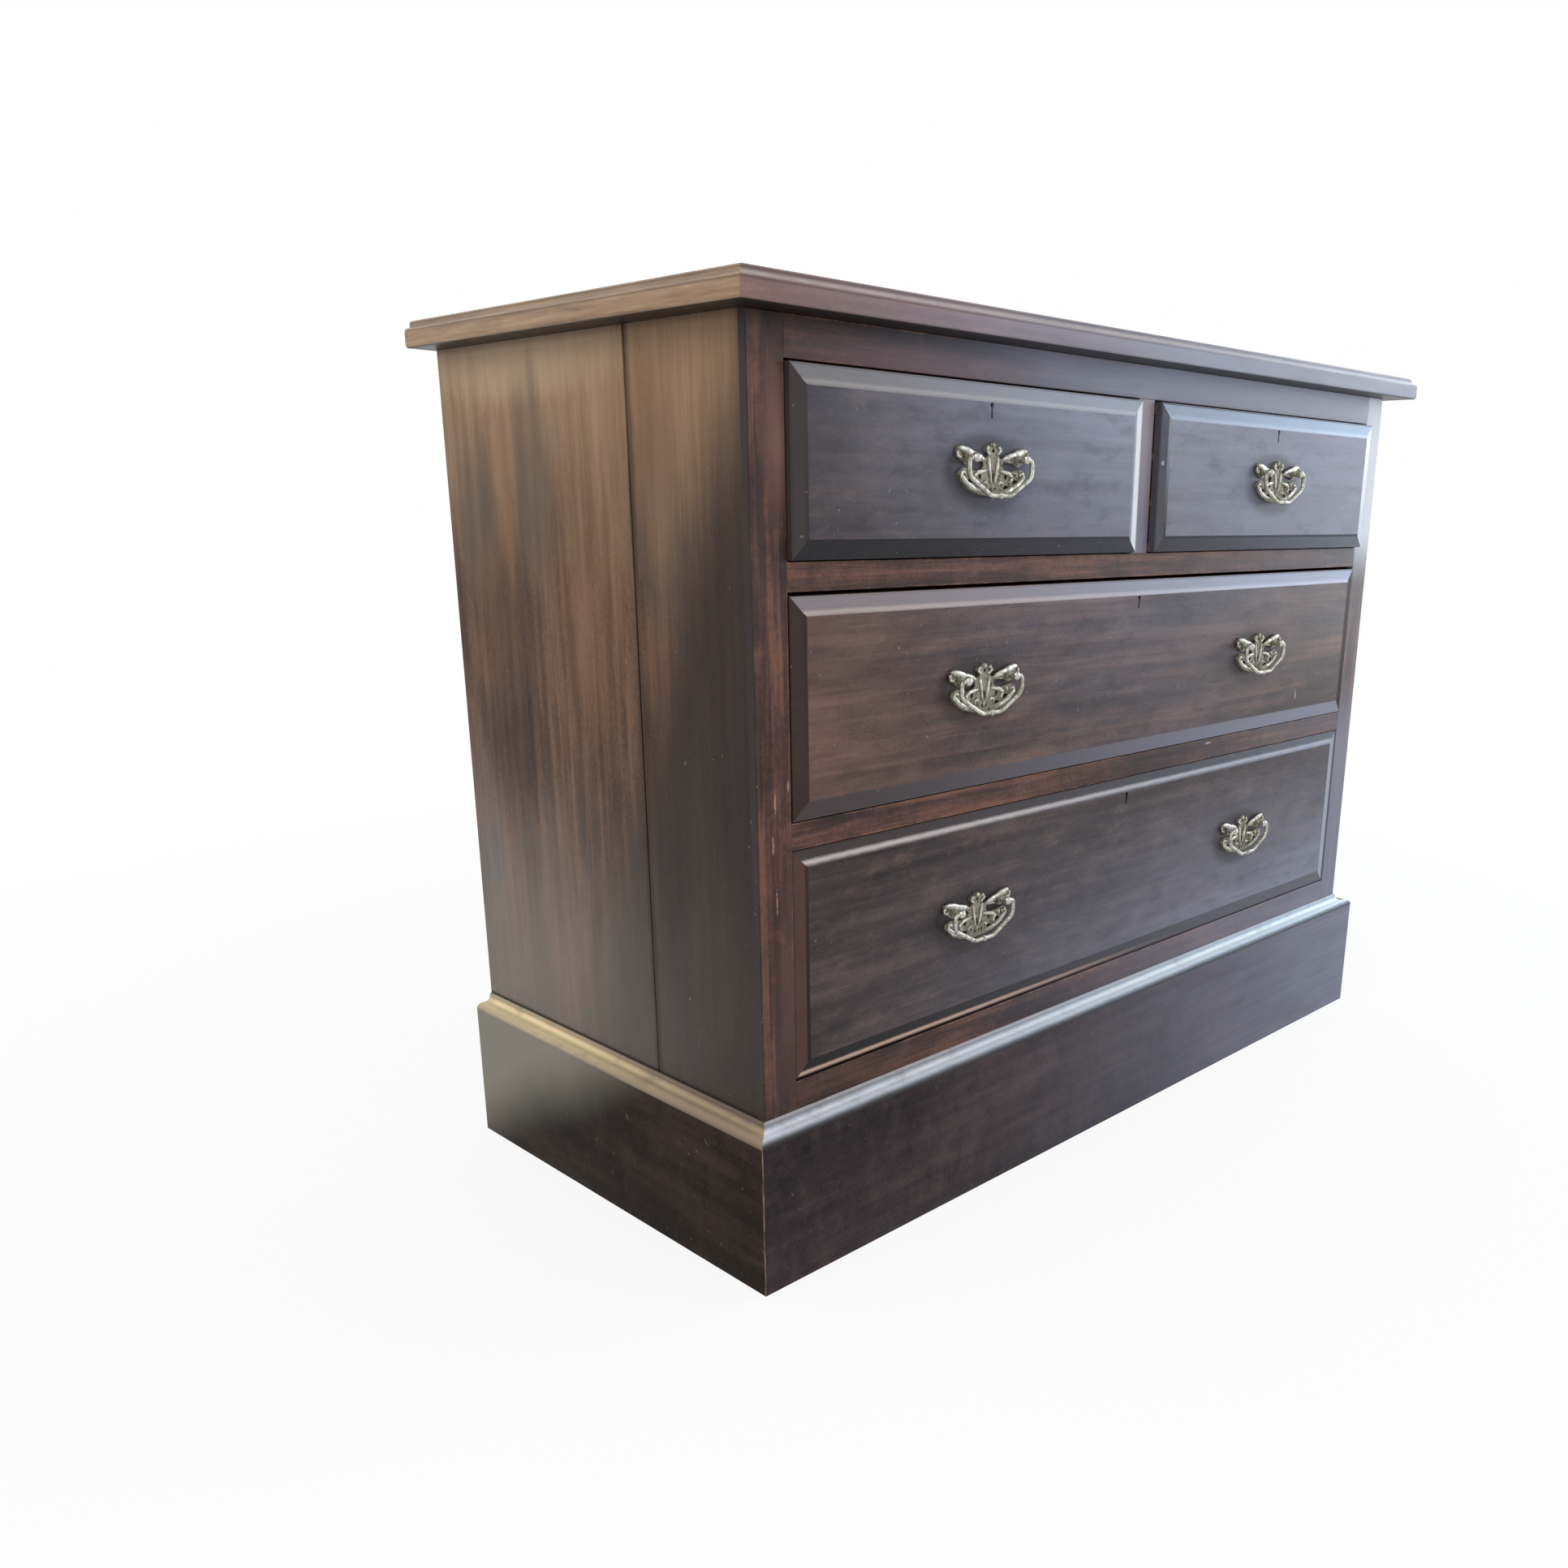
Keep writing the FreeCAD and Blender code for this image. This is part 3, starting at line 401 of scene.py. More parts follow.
rail_sheens = {"top_rail": (-0.52, 0.12, 1.05), "upper_rail": (-0.2, 0.50, 0.08),
               "lower_rail": (-0.1, 0.55, 0.20), "bottom_rail": (-0.35, 0.50, 0.62)}
top_rail_warm = (0.250, 0.125, 0.122)
bottom_rail_dark = (0.016, 0.009, 0.008)
rail_knock = (0.50, 0.44, 0.42)
rail_knocks = [(0.156, 0.400, 0.007, 0.0014)]
for number, (node, sheen) in enumerate(rail_sheens.items()):
    rail, colour, grain, pores = frame_finish(node, "X", 20.0 + number, sheen)
    if node == "top_rail":
        # painted glare of the right window, growing toward the right end of the top rail
        colour = rail.over(colour, painted_glare, rail.x.rise(-0.1, 0.6) * 0.20)
        below_shadow = rail.z.rise(under_top - 0.003, under_top - 0.033)
        colour = rail.over(colour, top_rail_warm,
                           rail.x.near(-0.33, 0.25) * below_shadow * 0.42)
    if node == "bottom_rail":
        colour = rail.over(colour, bottom_rail_dark, rail.x.rise(-0.20, -0.42) * 0.55)
    if node == "lower_rail":
        colour = knocked(rail, colour, rail_knock, rail_knocks)
    polish(rail, colour, grain, pores, **frame_polish)
    dress(node, rail)


# ---- top -----------------------------------------------------------------------------
# One wide mahogany board with a moulded edge along the front and both ends. The left end
# is bleached like the side below it; the fillet of the moulding is worn pale and carries a
# painted highlight, blue-white toward the right. Painted shade darkens the underside and
# the creases of the moulding, and a painted sheen lies along the front.
top_brown = [(0.30, (0.070, 0.034, 0.027)), (0.52, (0.150, 0.082, 0.068)),
             (0.74, (0.240, 0.150, 0.120))]
end_bleached = [(0.32, (0.190, 0.110, 0.058)), (0.50, (0.315, 0.205, 0.122)),
                (0.66, (0.430, 0.290, 0.170))]
edge_warm = (0.350, 0.180, 0.150)
underside_shade = (0.007, 0.005, 0.004)
crease_shade = (0.050, 0.035, 0.030)
fillet_warm = (0.520, 0.450, 0.430)
fillet_painted_reflection = (0.640, 0.690, 0.780)
moulded_width = 0.0105
fillet_depth = 0.0058           # below the upper face, as are the creases beside it
upper_crease, lower_crease = 0.0024, 0.0095
crease_reach = 0.0014
top_low, top_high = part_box("top_board")
top_finish = Finish("top_board")
top_colour, top_grain, top_pores = wood(top_finish, "X", top_brown, 30.0, streak=1.4)
moulded_to = top_low.y + moulded_width
front_edge = top_finish.y.rise(moulded_to + 0.002, moulded_to)
# painted sheen along the front of the top, strongest on the moulded edge
top_colour = with_painted_sheen(top_finish, top_colour, "X", 30.0, left=-0.72, right=0.15,
                     strength=0.92, height=0.20 + front_edge * 0.80)
top_colour = top_finish.over(top_colour, edge_warm,
                             top_finish.x.rise(-0.10, -0.50) * front_edge * 0.27)
end_grain = top_finish.noise((300.0, 9.0, 160.0), 34.0, 5.0, 0.7)
end_colour = top_finish.tone(end_grain, end_bleached)
past_mitre = (top_finish.y - top_low.y) - (top_finish.x - top_low.x)
end_face = top_finish.x.rise(top_low.x + 0.012, top_low.x + 0.009)
left_end = past_mitre.rise(-0.0003, 0.0003) * end_face
top_colour = top_finish.over(top_colour, end_colour, left_end * 0.95)
# painted shade: the underside of the overhang nearly black, and darker creases beside the
# fillet of the moulding
underside = top_finish.z.rise(top_low.z + 0.0012, top_low.z + 0.0004)
top_colour = top_finish.over(top_colour, underside_shade, underside * 0.94)
creases = top_finish.z.near(top_high.z - lower_crease, crease_reach).most(
    top_finish.z.near(top_high.z - upper_crease, crease_reach))
top_colour = top_finish.over(top_colour, crease_shade, creases * 0.60)
# the worn fillet also carries a painted highlight, warm at the left and blue-white toward
# the right
fillet_wear_and_highlight = top_finish.z.near(top_high.z - fillet_depth, 0.0026)
patchy = top_finish.noise(30.0, 31.0, 3.0, 0.6).rise(0.30, 0.55)
fillet = top_finish.over(fillet_warm, fillet_painted_reflection, top_finish.x.rise(-0.10, 0.45))
top_colour = top_finish.over(
    top_colour, fillet, fillet_wear_and_highlight * (0.70 + patchy * 0.28) * (1.0 - left_end * 0.7))
polish(top_finish, top_colour, top_grain, top_pores, dullness=0.38, shine=0.3)
dress("top_board", top_finish)


# ---- plinth and its moulding ---------------------------------------------------------
# Three boards mitred at the front corners, nearly black with old stain and floor dirt,
# under a mitred moulding whose polish has gone, pale ochre on the left, with light and
# shade painted along its profile.
plinth_black = [(0.30, (0.012, 0.008, 0.009)), (0.52, (0.036, 0.024, 0.026)),
                (0.76, (0.074, 0.050, 0.050))]
plinth_soot = [(0.30, (0.005, 0.003, 0.002)), (0.52, (0.016, 0.009, 0.006)),
               (0.76, (0.042, 0.026, 0.018))]
plinth_smear = (0.075, 0.052, 0.048)
plinth_dirt = (0.006, 0.004, 0.004)
plinth_dust_and_light = (0.266, 0.246, 0.200)
plinth_scuff = (0.20, 0.14, 0.11)
plinth_bare = (0.30, 0.20, 0.12)
plinth_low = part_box("plinth_front")[0]


def plinth_finish(node, where, dust=None):
    """dust is how strongly a grey film, dust with painted light on it, lies toward the
    back and top. The front board has none; it carries the painted sheen instead."""
    is_front = dust is None
    finish = Finish(node)
    along, stops = ("X", plinth_black) if is_front else ("Y", plinth_soot)
    colour, grain, pores = wood(finish, along, stops, where, streak=0.45)
    smears = finish.noise((45.0, 45.0, 28.0), where + 12, 5.0, 0.66)
    colour = finish.over(colour, plinth_smear,
                         smears.rise(0.48, 0.74) * (0.50 if is_front else 0.15))
    colour = finish.over(colour, plinth_dirt, smears.rise(0.50, 0.30) * 0.45)
    if is_front:
        colour = with_painted_sheen(finish, colour, along, where, left=-0.35, right=0.80,
                         strength=0.85)
    else:
        drift = finish.noise(7.0, where + 3) - 0.5
        # greyer toward the back and top: dust, with painted light on it
        lit = finish.y + finish.z * 1.8 + drift * 0.06
        colour = finish.over(colour, plinth_dust_and_light, lit.rise(0.16, 0.35) * dust)
    scuffs = finish.noise(150.0, where + 5, 3.0, 0.6).rise(0.67, 0.74)
    colour = finish.over(colour, plinth_scuff, scuffs * 0.5)
    worn = finish.noise(60.0, where + 7, 3.0).rise(0.35, 0.60)
    corner = (finish.y.rise(plinth_low.y + 0.0012, plinth_low.y + 0.0001)
              * finish.x.size().rise(-plinth_low.x - 0.0012, -plinth_low.x - 0.0001))
    colour = finish.over(colour, plinth_bare, corner * worn)
    polish(finish, colour, grain, pores, dullness=0.38, shine=0.10 if is_front else 0.04)
    return finish


dress("plinth_front", plinth_finish("plinth_front", 40.0))
dress("plinth_left", plinth_finish("plinth_left", 43.0, 0.90))
dress("plinth_right", plinth_finish("plinth_right", 46.0, 0.10))

moulding_light_and_shade = {
    # Painted light and shade: colour against height, from the flat at the foot over the
    # round and the hollow to the bead, at each end of the left and the front length. The
    # round and the bead are painted lit, the hollow and the foot of the front lip painted
    # in shade, and the front turns to a painted blue-white reflection toward the right.
    "left_front": [(0.02, (0.115, 0.084, 0.056)), (0.14, (0.185, 0.136, 0.090)),
                   (0.23, (0.250, 0.184, 0.122)), (0.36, (0.315, 0.232, 0.152)),
                   (0.49, (0.400, 0.298, 0.192)), (0.57, (0.350, 0.262, 0.174)),
                   (0.70, (0.205, 0.150, 0.104)), (0.79, (0.130, 0.094, 0.070)),
                   (0.88, (0.150, 0.112, 0.088)), (0.98, (0.140, 0.100, 0.080))],
    "left_back": [(0.02, (0.220, 0.172, 0.115)), (0.14, (0.420, 0.330, 0.220)),
                  (0.23, (0.510, 0.398, 0.258)), (0.36, (0.580, 0.450, 0.285)),
                  (0.42, (0.710, 0.565, 0.350)), (0.49, (0.880, 0.720, 0.435)),
                  (0.57, (0.930, 0.760, 0.455)), (0.70, (0.720, 0.565, 0.320)),
                  (0.79, (0.410, 0.320, 0.190)), (0.88, (0.470, 0.380, 0.250)),
                  (0.98, (0.360, 0.300, 0.210))],
    "front_left": [(0.14, (0.016, 0.015, 0.017)), (0.23, (0.070, 0.072, 0.082)),
                   (0.29, (0.170, 0.177, 0.195)), (0.36, (0.380, 0.397, 0.436)),
                   (0.42, (0.620, 0.648, 0.714)), (0.49, (0.740, 0.770, 0.850)),
                   (0.57, (0.500, 0.524, 0.577)), (0.70, (0.290, 0.293, 0.318)),
                   (0.79, (0.235, 0.235, 0.252)), (0.88, (0.320, 0.305, 0.318)),
                   (0.98, (0.380, 0.362, 0.375))],
    "front_right": [(0.14, (0.034, 0.046, 0.062)), (0.23, (0.065, 0.090, 0.124)),
                    (0.29, (0.140, 0.180, 0.230)), (0.36, (0.390, 0.490, 0.610)),
                    (0.42, (0.740, 0.880, 0.970)), (0.49, (0.900, 0.960, 0.975)),
                    (0.57, (0.780, 0.930, 0.975)), (0.70, (0.510, 0.640, 0.780)),
                    (0.79, (0.440, 0.535, 0.650)), (0.88, (0.480, 0.560, 0.650)),
                    (0.98, (0.440, 0.500, 0.570))]}
moulding_brown = (0.070, 0.036, 0.024)
moulding_dirt = (0.100, 0.085, 0.070)
mould_low, mould_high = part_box("plinth_mouldings")
mould = Finish("plinth_mouldings")
clouds = mould.noise(25.0, 51.0, 4.0, 0.65)
mould_grain = mould.noise((380.0, 12.0, 380.0), 53.0, 3.0, 0.6)
height = (mould.z - mould_low.z) / (mould_high.z - mould_low.z) + (clouds - 0.5) * 0.10
tones = {place: mould.tone(height, stops) for place, stops in moulding_light_and_shade.items()}
on_left = mould.over(tones["left_front"], tones["left_back"], mould.y.rise(-0.17, 0.16))
on_front = mould.over(tones["front_left"], tones["front_right"], mould.x.rise(-0.45, 0.45))
mitre = mould_low.y - mould_low.x
front_length = (mould.y + mould.x.size()).rise(mitre + 0.0007, mitre - 0.0007)
mould_colour = mould.over(on_left, moulding_brown, mould.x.rise(0.40, 0.42))
mould_colour = mould.over(mould_colour, on_front, front_length)
mould_colour = mould.over(mould_colour, moulding_dirt, clouds.rise(0.50, 0.75) * 0.35
                          + mould_grain.rise(0.50, 0.80) * 0.20)
polish(mould, mould_colour, mould_grain, pores=0.0, dullness=0.45, shine=0.3)
dress("plinth_mouldings", mould)


# ---- pine inside the carcass ---------------------------------------------------------
# Back boards, back rails, runners, guides, kickers, stops and glue blocks are bare pine,
# brown with age and dust. Each runs along its own length.
pine_stops = [(0.28, (0.220, 0.120, 0.055)), (0.52, (0.400, 0.255, 0.130)),
              (0.76, (0.520, 0.370, 0.215))]
pine_grime = (0.12, 0.085, 0.055)
run_stain = (0.020, 0.011, 0.009)


def pine_finish(name, along, where, stained_to=None, boards=1):
    """stained_to is the Y up to which stain from the front has run onto the pine. boards
    is how many stand side by side; each has its own grain."""
    finish = Finish(name)
    low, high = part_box(name)
    board = ((finish.x - low.x) * (boards / (high.x - low.x))).whole()
    finish.place = finish.node("ShaderNodeCombineXYZ", {}, {
        "X": finish.x, "Y": finish.y, "Z": finish.z + board * 3.7}).outputs[0]
    rings = finish.noise(stretched(along, 70.0, 1.1), where, 2.0, 0.5, 0.2)
    broad = finish.noise(stretched(along, 8.0, 0.8), where + 2, 3.0, 0.6)
    grain = finish.noise(stretched(along, 420.0, 8.0), where + 4, 2.0, 0.6)
    colour = finish.tone(0.5 + (rings - 0.5) * 1.1 + (broad - 0.5) * 0.6
                         + (grain - 0.5) * 0.4, pine_stops)
    grime = finish.noise(6.0, where + 6, 4.0, 0.65).rise(0.42, 0.72)
    colour = finish.over(colour, pine_grime, grime * 0.55)
    if stained_to is not None:
        stained = finish.y.rise(stained_to + 0.0015, stained_to - 0.0015)
        colour = finish.over(colour, run_stain, stained)
    finish.plug(finish.shader, {"Base Color": colour, "Specular IOR Level": 0.2,
                                "Roughness": 0.72 + (grain - 0.5) * 0.2})
    finish.raised(grain + rings, 0.0002)
    return finish


pine_runs = {"back_boards": "Z", "back_rails": "X", "drawer_runners": "Y",
             "drawer_guides": "Y", "drawer_kickers": "Y", "drawer_stops": "X",
             "glue_blocks": "X"}
for number, (node, along) in enumerate(pine_runs.items()):
    dress(node, pine_finish(node, along, 60.0 + number,
                            boards=7 if node == "back_boards" else 1))


# ---- screws that hold the top --------------------------------------------------------
# Eight iron wood screws, driven up through the rails into the underside of the top. Their
# heads sit in counterbores, dull and rusting.
iron_stops = [(0.35, (0.13, 0.12, 0.115)), (0.65, (0.17, 0.075, 0.04))]
iron = Finish("top_screws")
rust = iron.noise(300.0, 70.0, 4.0, 0.7)
iron.plug(iron.shader, {
    "Base Color": iron.tone(rust, iron_stops),
    "Metallic": rust.rise(0.62, 0.45), "Roughness": 0.45 + rust * 0.3})
dress("top_screws", iron)


# ---- drawer fronts -------------------------------------------------------------------
# Solid mahogany boards lapped over the dovetails of the drawer sides, each with a raised
# field and four mitred slopes. They are stained almost black and polished; the middle one
# has worn back to brown.
handles = {"upper_left": [("upper_left", -1)], "upper_right": [("upper_right", 1)],
           "middle": [("middle_left", -1), ("middle_right", 1)],
           "lower": [("lower_left", -1), ("lower_right", 1)]}
handle_from_middle = 0.241
handle_rise = 0.010             # posts above the middle of the front
field_inset = 0.0156
mitre_blur = 0.0004
front_black = [(0.28, (0.016, 0.010, 0.010)), (0.52, (0.046, 0.031, 0.030)),
               (0.76, (0.096, 0.066, 0.060))]
front_brown = [(0.28, (0.024, 0.013, 0.010)), (0.50, (0.070, 0.038, 0.028)),
               (0.76, (0.160, 0.088, 0.058))]
front_warm = (0.170, 0.108, 0.080)
front_dirt = (0.020, 0.015, 0.016)
front_speck = (0.27, 0.24, 0.22)
painted_gap_shade = (0.012, 0.009, 0.010)
painted_handle_shadow = (0.014, 0.012, 0.014)
bare_inside = ((0.095, 0.046, 0.028), (0.185, 0.100, 0.060))
upper_right_painted_reflection = (0.150, 0.185, 0.330)
middle_warm = (0.240, 0.125, 0.092)
middle_dark = (0.030, 0.020, 0.024)
lower_bare = (0.560, 0.380, 0.290)
front_knock = (0.50, 0.48, 0.50)
front_knocks = {"upper_right": [(0.020, 0.698, 0.0022, 0.0024)],
                "middle": [(0.343, 0.438, 0.0014, 0.007)]}
front_looks = {
    # sheen: left end, right end and strength of the painted sheen, and how much stronger
    # it is at the top. The slopes, the line and the step are painted light and shade,
    # drawer by
    # drawer: painted reflections and highlights where pale, painted shade where dark.
    # top_slope, low_slope and line, which is the worn edge between field and top slope
    # with a
    # painted highlight on it: colour at the left end and at the right. right_slope and
    # left_step, which is the edge between field and left slope: colour at the foot and at
    # the
    # top. line_at and right_reach: distances in from the edges. gap_shade: painted shade
    # of the gap on the outer arris, left and right.
    "upper_left": {
        "stops": front_black, "streak": 0.65, "sheen": (-0.60, 0.08, 0.84, 0.42),
        "top_slope": ((0.220, 0.208, 0.212), (0.350, 0.375, 0.460)),
        "line": ((0.350, 0.320, 0.310), (0.500, 0.510, 0.570)),
        "low_slope": ((0.008, 0.007, 0.009), (0.006, 0.006, 0.014)),
        "left_slope": (0.044, 0.034, 0.032),
        "left_step": ((0.032, 0.026, 0.026), (0.050, 0.042, 0.044)),
        "right_slope": ((0.740, 0.750, 0.780), (0.800, 0.810, 0.830)),
        "line_at": (0.0132, 0.0034), "right_reach": (0.0125, 0.0080),
        "gap_shade": (0.40, 0.45)},
    "upper_right": {
        "stops": front_black, "streak": 0.65, "sheen": (-0.50, 0.10, 0.66, 0.22),
        "top_slope": ((0.290, 0.350, 0.460), (0.400, 0.530, 0.720)),
        "line": ((0.400, 0.460, 0.570), (0.540, 0.670, 0.850)),
        "low_slope": ((0.004, 0.005, 0.012), (0.012, 0.018, 0.038)),
        "left_slope": (0.048, 0.044, 0.056),
        "left_step": ((0.040, 0.048, 0.062), (0.370, 0.380, 0.440)),
        "right_slope": ((0.400, 0.410, 0.460), (0.800, 0.820, 0.860)),
        "line_at": (0.0132, 0.0034), "right_reach": (0.0160, 0.0130),
        "gap_shade": (1.00, 0.85)},
    "middle": {
        "stops": front_brown, "streak": 1.15, "sheen": (-0.60, 0.10, 0.19, 0.45),
        "top_slope": ((0.235, 0.200, 0.210), (0.345, 0.390, 0.510)),
        "line": ((0.440, 0.360, 0.330), (0.470, 0.500, 0.640)),
        "low_slope": ((0.052, 0.040, 0.042), (0.235, 0.240, 0.310)),
        "left_slope": (0.024, 0.012, 0.010),
        "left_step": ((0.040, 0.022, 0.018), (0.034, 0.016, 0.013)),
        "right_slope": ((0.036, 0.028, 0.036), (0.110, 0.088, 0.090)),
        "line_at": (0.0132, 0.0034), "right_reach": (0.0160, 0.0150),
        "gap_shade": (0.15, 0.75)},
    "lower": {
        "stops": front_black, "streak": 0.80, "sheen": (-0.53, 0.50, 0.41, -1.0),
        "top_slope": ((0.046, 0.032, 0.032), (0.070, 0.080, 0.110)),
        "line": ((0.560, 0.490, 0.460), (0.380, 0.410, 0.500)),
        "low_slope": ((0.003, 0.002, 0.003), (0.085, 0.085, 0.105)),
        "left_slope": (0.082, 0.038, 0.032),
        "left_step": ((0.004, 0.003, 0.003), (0.024, 0.014, 0.012)),
        "right_slope": ((0.350, 0.365, 0.430), (0.330, 0.350, 0.420)),
        "line_at": (0.0115, 0.0038), "right_reach": (0.0160, 0.0130),
        "gap_shade": (0.30, 0.20)}}


def field_colour(finish, drawer, colour, smears, where, low, high):
    """Smears and painted sheen on the polish of a front, and where use has worn it."""
    left, right, strength, lean = front_looks[drawer]["sheen"]
    height = 1.0 + (finish.z - (low.z + high.z) / 2) * (lean * 2 / (high.z - low.z))
    if drawer == "middle":
        height = height * (1.0 - finish.x.rise(0.05, 0.45) * 0.65)
        colour = finish.over(colour, middle_warm, finish.x.rise(-0.26, -0.46) * 0.30)
        colour = finish.over(colour, middle_dark, finish.x.near(0.10, 0.38) * 0.24)
    colour = finish.over(colour, front_warm, smears.rise(0.50, 0.74) * 0.40)
    colour = with_painted_sheen(finish, colour, "X", where, left, right, strength, height)
    # painted reflection, cooler toward the right
    if drawer == "upper_right":
        colour = finish.over(colour, upper_right_painted_reflection, finish.x.rise(0.05, 0.35) * 0.17)
    return finish.over(colour, front_dirt, smears.rise(0.50, 0.30) * 0.30)


def slope_colours(finish, drawer, colour, grain, smears, where, low, high):
    """Each slope round the field gets its own painted light and shade, changing along its
    length. Returns the colour and where the right slope is."""
    look = front_looks[drawer]
    from_left, from_right = finish.x - low.x, high.x - finish.x
    from_foot, from_top = finish.z - low.z, high.z - finish.z
    ends = from_left.least(from_right)
    edges = from_foot.least(from_top)
    inset = ends.least(edges)
    on_slope = inset.rise(field_inset + 0.0002, field_inset - 0.0002)
    top, foot, left, right = [
        (others - own).rise(-mitre_blur, mitre_blur) * on_slope
        for others, own in ((ends.least(from_foot), from_top),
                            (ends.least(from_top), from_foot),
                            (edges.least(from_right), from_left),
                            (edges.least(from_left), from_right))]
    along = finish.x.rise(low.x, high.x)
    upward = finish.z.rise(low.z, high.z)
    ragged = (finish.noise((60.0, 60.0, 200.0), where + 9, 4.0, 0.7) - 0.5) * 0.0040
    uneven = (0.68 + grain * 0.34 + smears * 0.20).least(1.0)

    colour = finish.over(colour, finish.over(*look["low_slope"], along), foot * 0.92)
    colour = finish.over(colour, look["left_slope"], left * 0.88)
    colour = finish.over(colour, finish.over(*look["left_step"], upward),
                         left * inset.rise(0.0118, 0.0136) * 0.85)
    colour = finish.over(colour, finish.over(*look["top_slope"], along), top * uneven)
    line = (inset + ragged * 0.5).near(*look["line_at"])
    colour = finish.over(colour, finish.over(*look["line"], along), top * line * uneven)
    colour = finish.over(colour, finish.over(*look["right_slope"], upward),
                         right * inset.rise(*look["right_reach"]) * 0.88)
    # painted shade of the gap round the front, along its outer arris but not at the foot
    arris = (inset + ragged * 0.2).near(0.0012, 0.0009) * (1.0 - foot)
    left_shade, right_shade = look["gap_shade"]
    colour = finish.over(colour, painted_gap_shade,
                         arris * (along * (right_shade - left_shade) + left_shade))
    if drawer == "lower":
        bare_foot = (from_foot + ragged * 0.3).near(0.0038, 0.0032)
        colour = finish.over(colour, lower_bare,
                             bare_foot * finish.x.rise(0.15, -0.28) * foot)
    return colour, right


def front_finish(drawer, where):
    node = drawer + "_drawer_front"
    low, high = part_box(node)
    look = front_looks[drawer]
    finish = Finish(node)
    colour, grain, pores = wood(finish, "X", look["stops"], where, look["streak"])
    smears = finish.noise((22.0, 60.0, 55.0), where + 15, 4.0, 0.62)
    colour = field_colour(finish, drawer, colour, smears, where, low, high)
    colour, right_slope = slope_colours(finish, drawer, colour, grain, smears, where,
                                        low, high)
    post_height = (low.z + high.z) / 2 + handle_rise
    # painted shadow of each handle, offset down and to the left of its plate
    for _, side in handles[drawer]:
        across = (finish.x - (side * handle_from_middle - 0.005)) / 0.053
        upward = (finish.z - (post_height - 0.012)) / 0.031
        handle_shadow_mask = (across * across + upward * upward).rise(1.45, 0.70)
        colour = finish.over(colour, painted_handle_shadow, handle_shadow_mask * 0.55)
    specks = finish.noise(190.0, where + 13, 1.0).rise(0.76, 0.80)
    colour = finish.over(colour, front_speck, specks * 0.45)
    if drawer in front_knocks:
        colour = knocked(finish, colour, front_knock, front_knocks[drawer])
    unstained = finish.over(*bare_inside, grain.rise(0.30, 0.70))
    inside = finish.y.rise(low.y + 0.0082, low.y + 0.0090)
    upper_edge = (finish.y.rise(low.y + 0.0014, low.y + 0.0020)
                  * finish.z.rise(high.z - 0.0004, high.z - 0.0002))
    colour = finish.over(colour, unstained, inside.most(upper_edge) * 0.88)
    worn_off = right_slope if drawer == "middle" else 0.0
    polish(finish, colour, grain, pores, dullness=0.32, shine=0.20, worn_off=worn_off)
    return finish


for number, drawer in enumerate(handles):
    dress(drawer + "_drawer_front", front_finish(drawer, 80.0 + 3 * number))


# ---- drawer linings ------------------------------------------------------------------
# Sides and back are dovetailed pine boards, the bottoms thin pine with the grain along
# the front. Stain from the fronts has run onto the ends of the sides.
stained_to = -0.207
for number, drawer in enumerate(handles):
    sides, back, bottom = [f"{drawer}_drawer_{lining}"
                           for lining in ("sides", "back", "bottom")]
    dress(sides, pine_finish(sides, "Y", 100.0 + 3 * number, stained_to))
    dress(back, pine_finish(back, "X", 101.0 + 3 * number))
    dress(bottom, pine_finish(bottom, "X", 102.0 + 3 * number))


# ---- locks and bolts -----------------------------------------------------------------
# Brass lock cases let into the backs of the fronts, with a bolt that a key would raise.
# They were never polished and have gone brown; the bolts are rubbed by the mortises.
brass_brown = (0.120, 0.095, 0.048)
brass_bright = (0.530, 0.525, 0.475)
brass_grime = (0.022, 0.019, 0.015)


def brass(finish, under, touched, where):
    """Cast brass: under in the hollows, bright on the touched share."""
    spots = finish.noise(230.0, where, 4.0, 0.65)
    pitting = finish.noise(900.0, where + 2, 2.0)
    rubbed = (spots + (pitting - 0.5) * 0.4 + touched).rise(0.86, 1.10)
    grime = (spots + touched * 0.6).rise(0.56, 0.44)
    under = finish.over(under, brass_grime, grime * 0.8)
    finish.plug(finish.shader, {
        "Base Color": finish.over(under, brass_bright, rubbed),
        "Metallic": 0.70 + rubbed * 0.25, "Roughness": 0.55 - rubbed * 0.18})
    finish.raised(pitting, 0.0001)
    return finish


for number, drawer in enumerate(handles):
    for part, touched in (("_lock", 0.2), ("_lock_bolt", 0.5)):
        node = drawer + part
        dress(node, brass(Finish(node), brass_brown, touched, 120.0 + 2 * number))


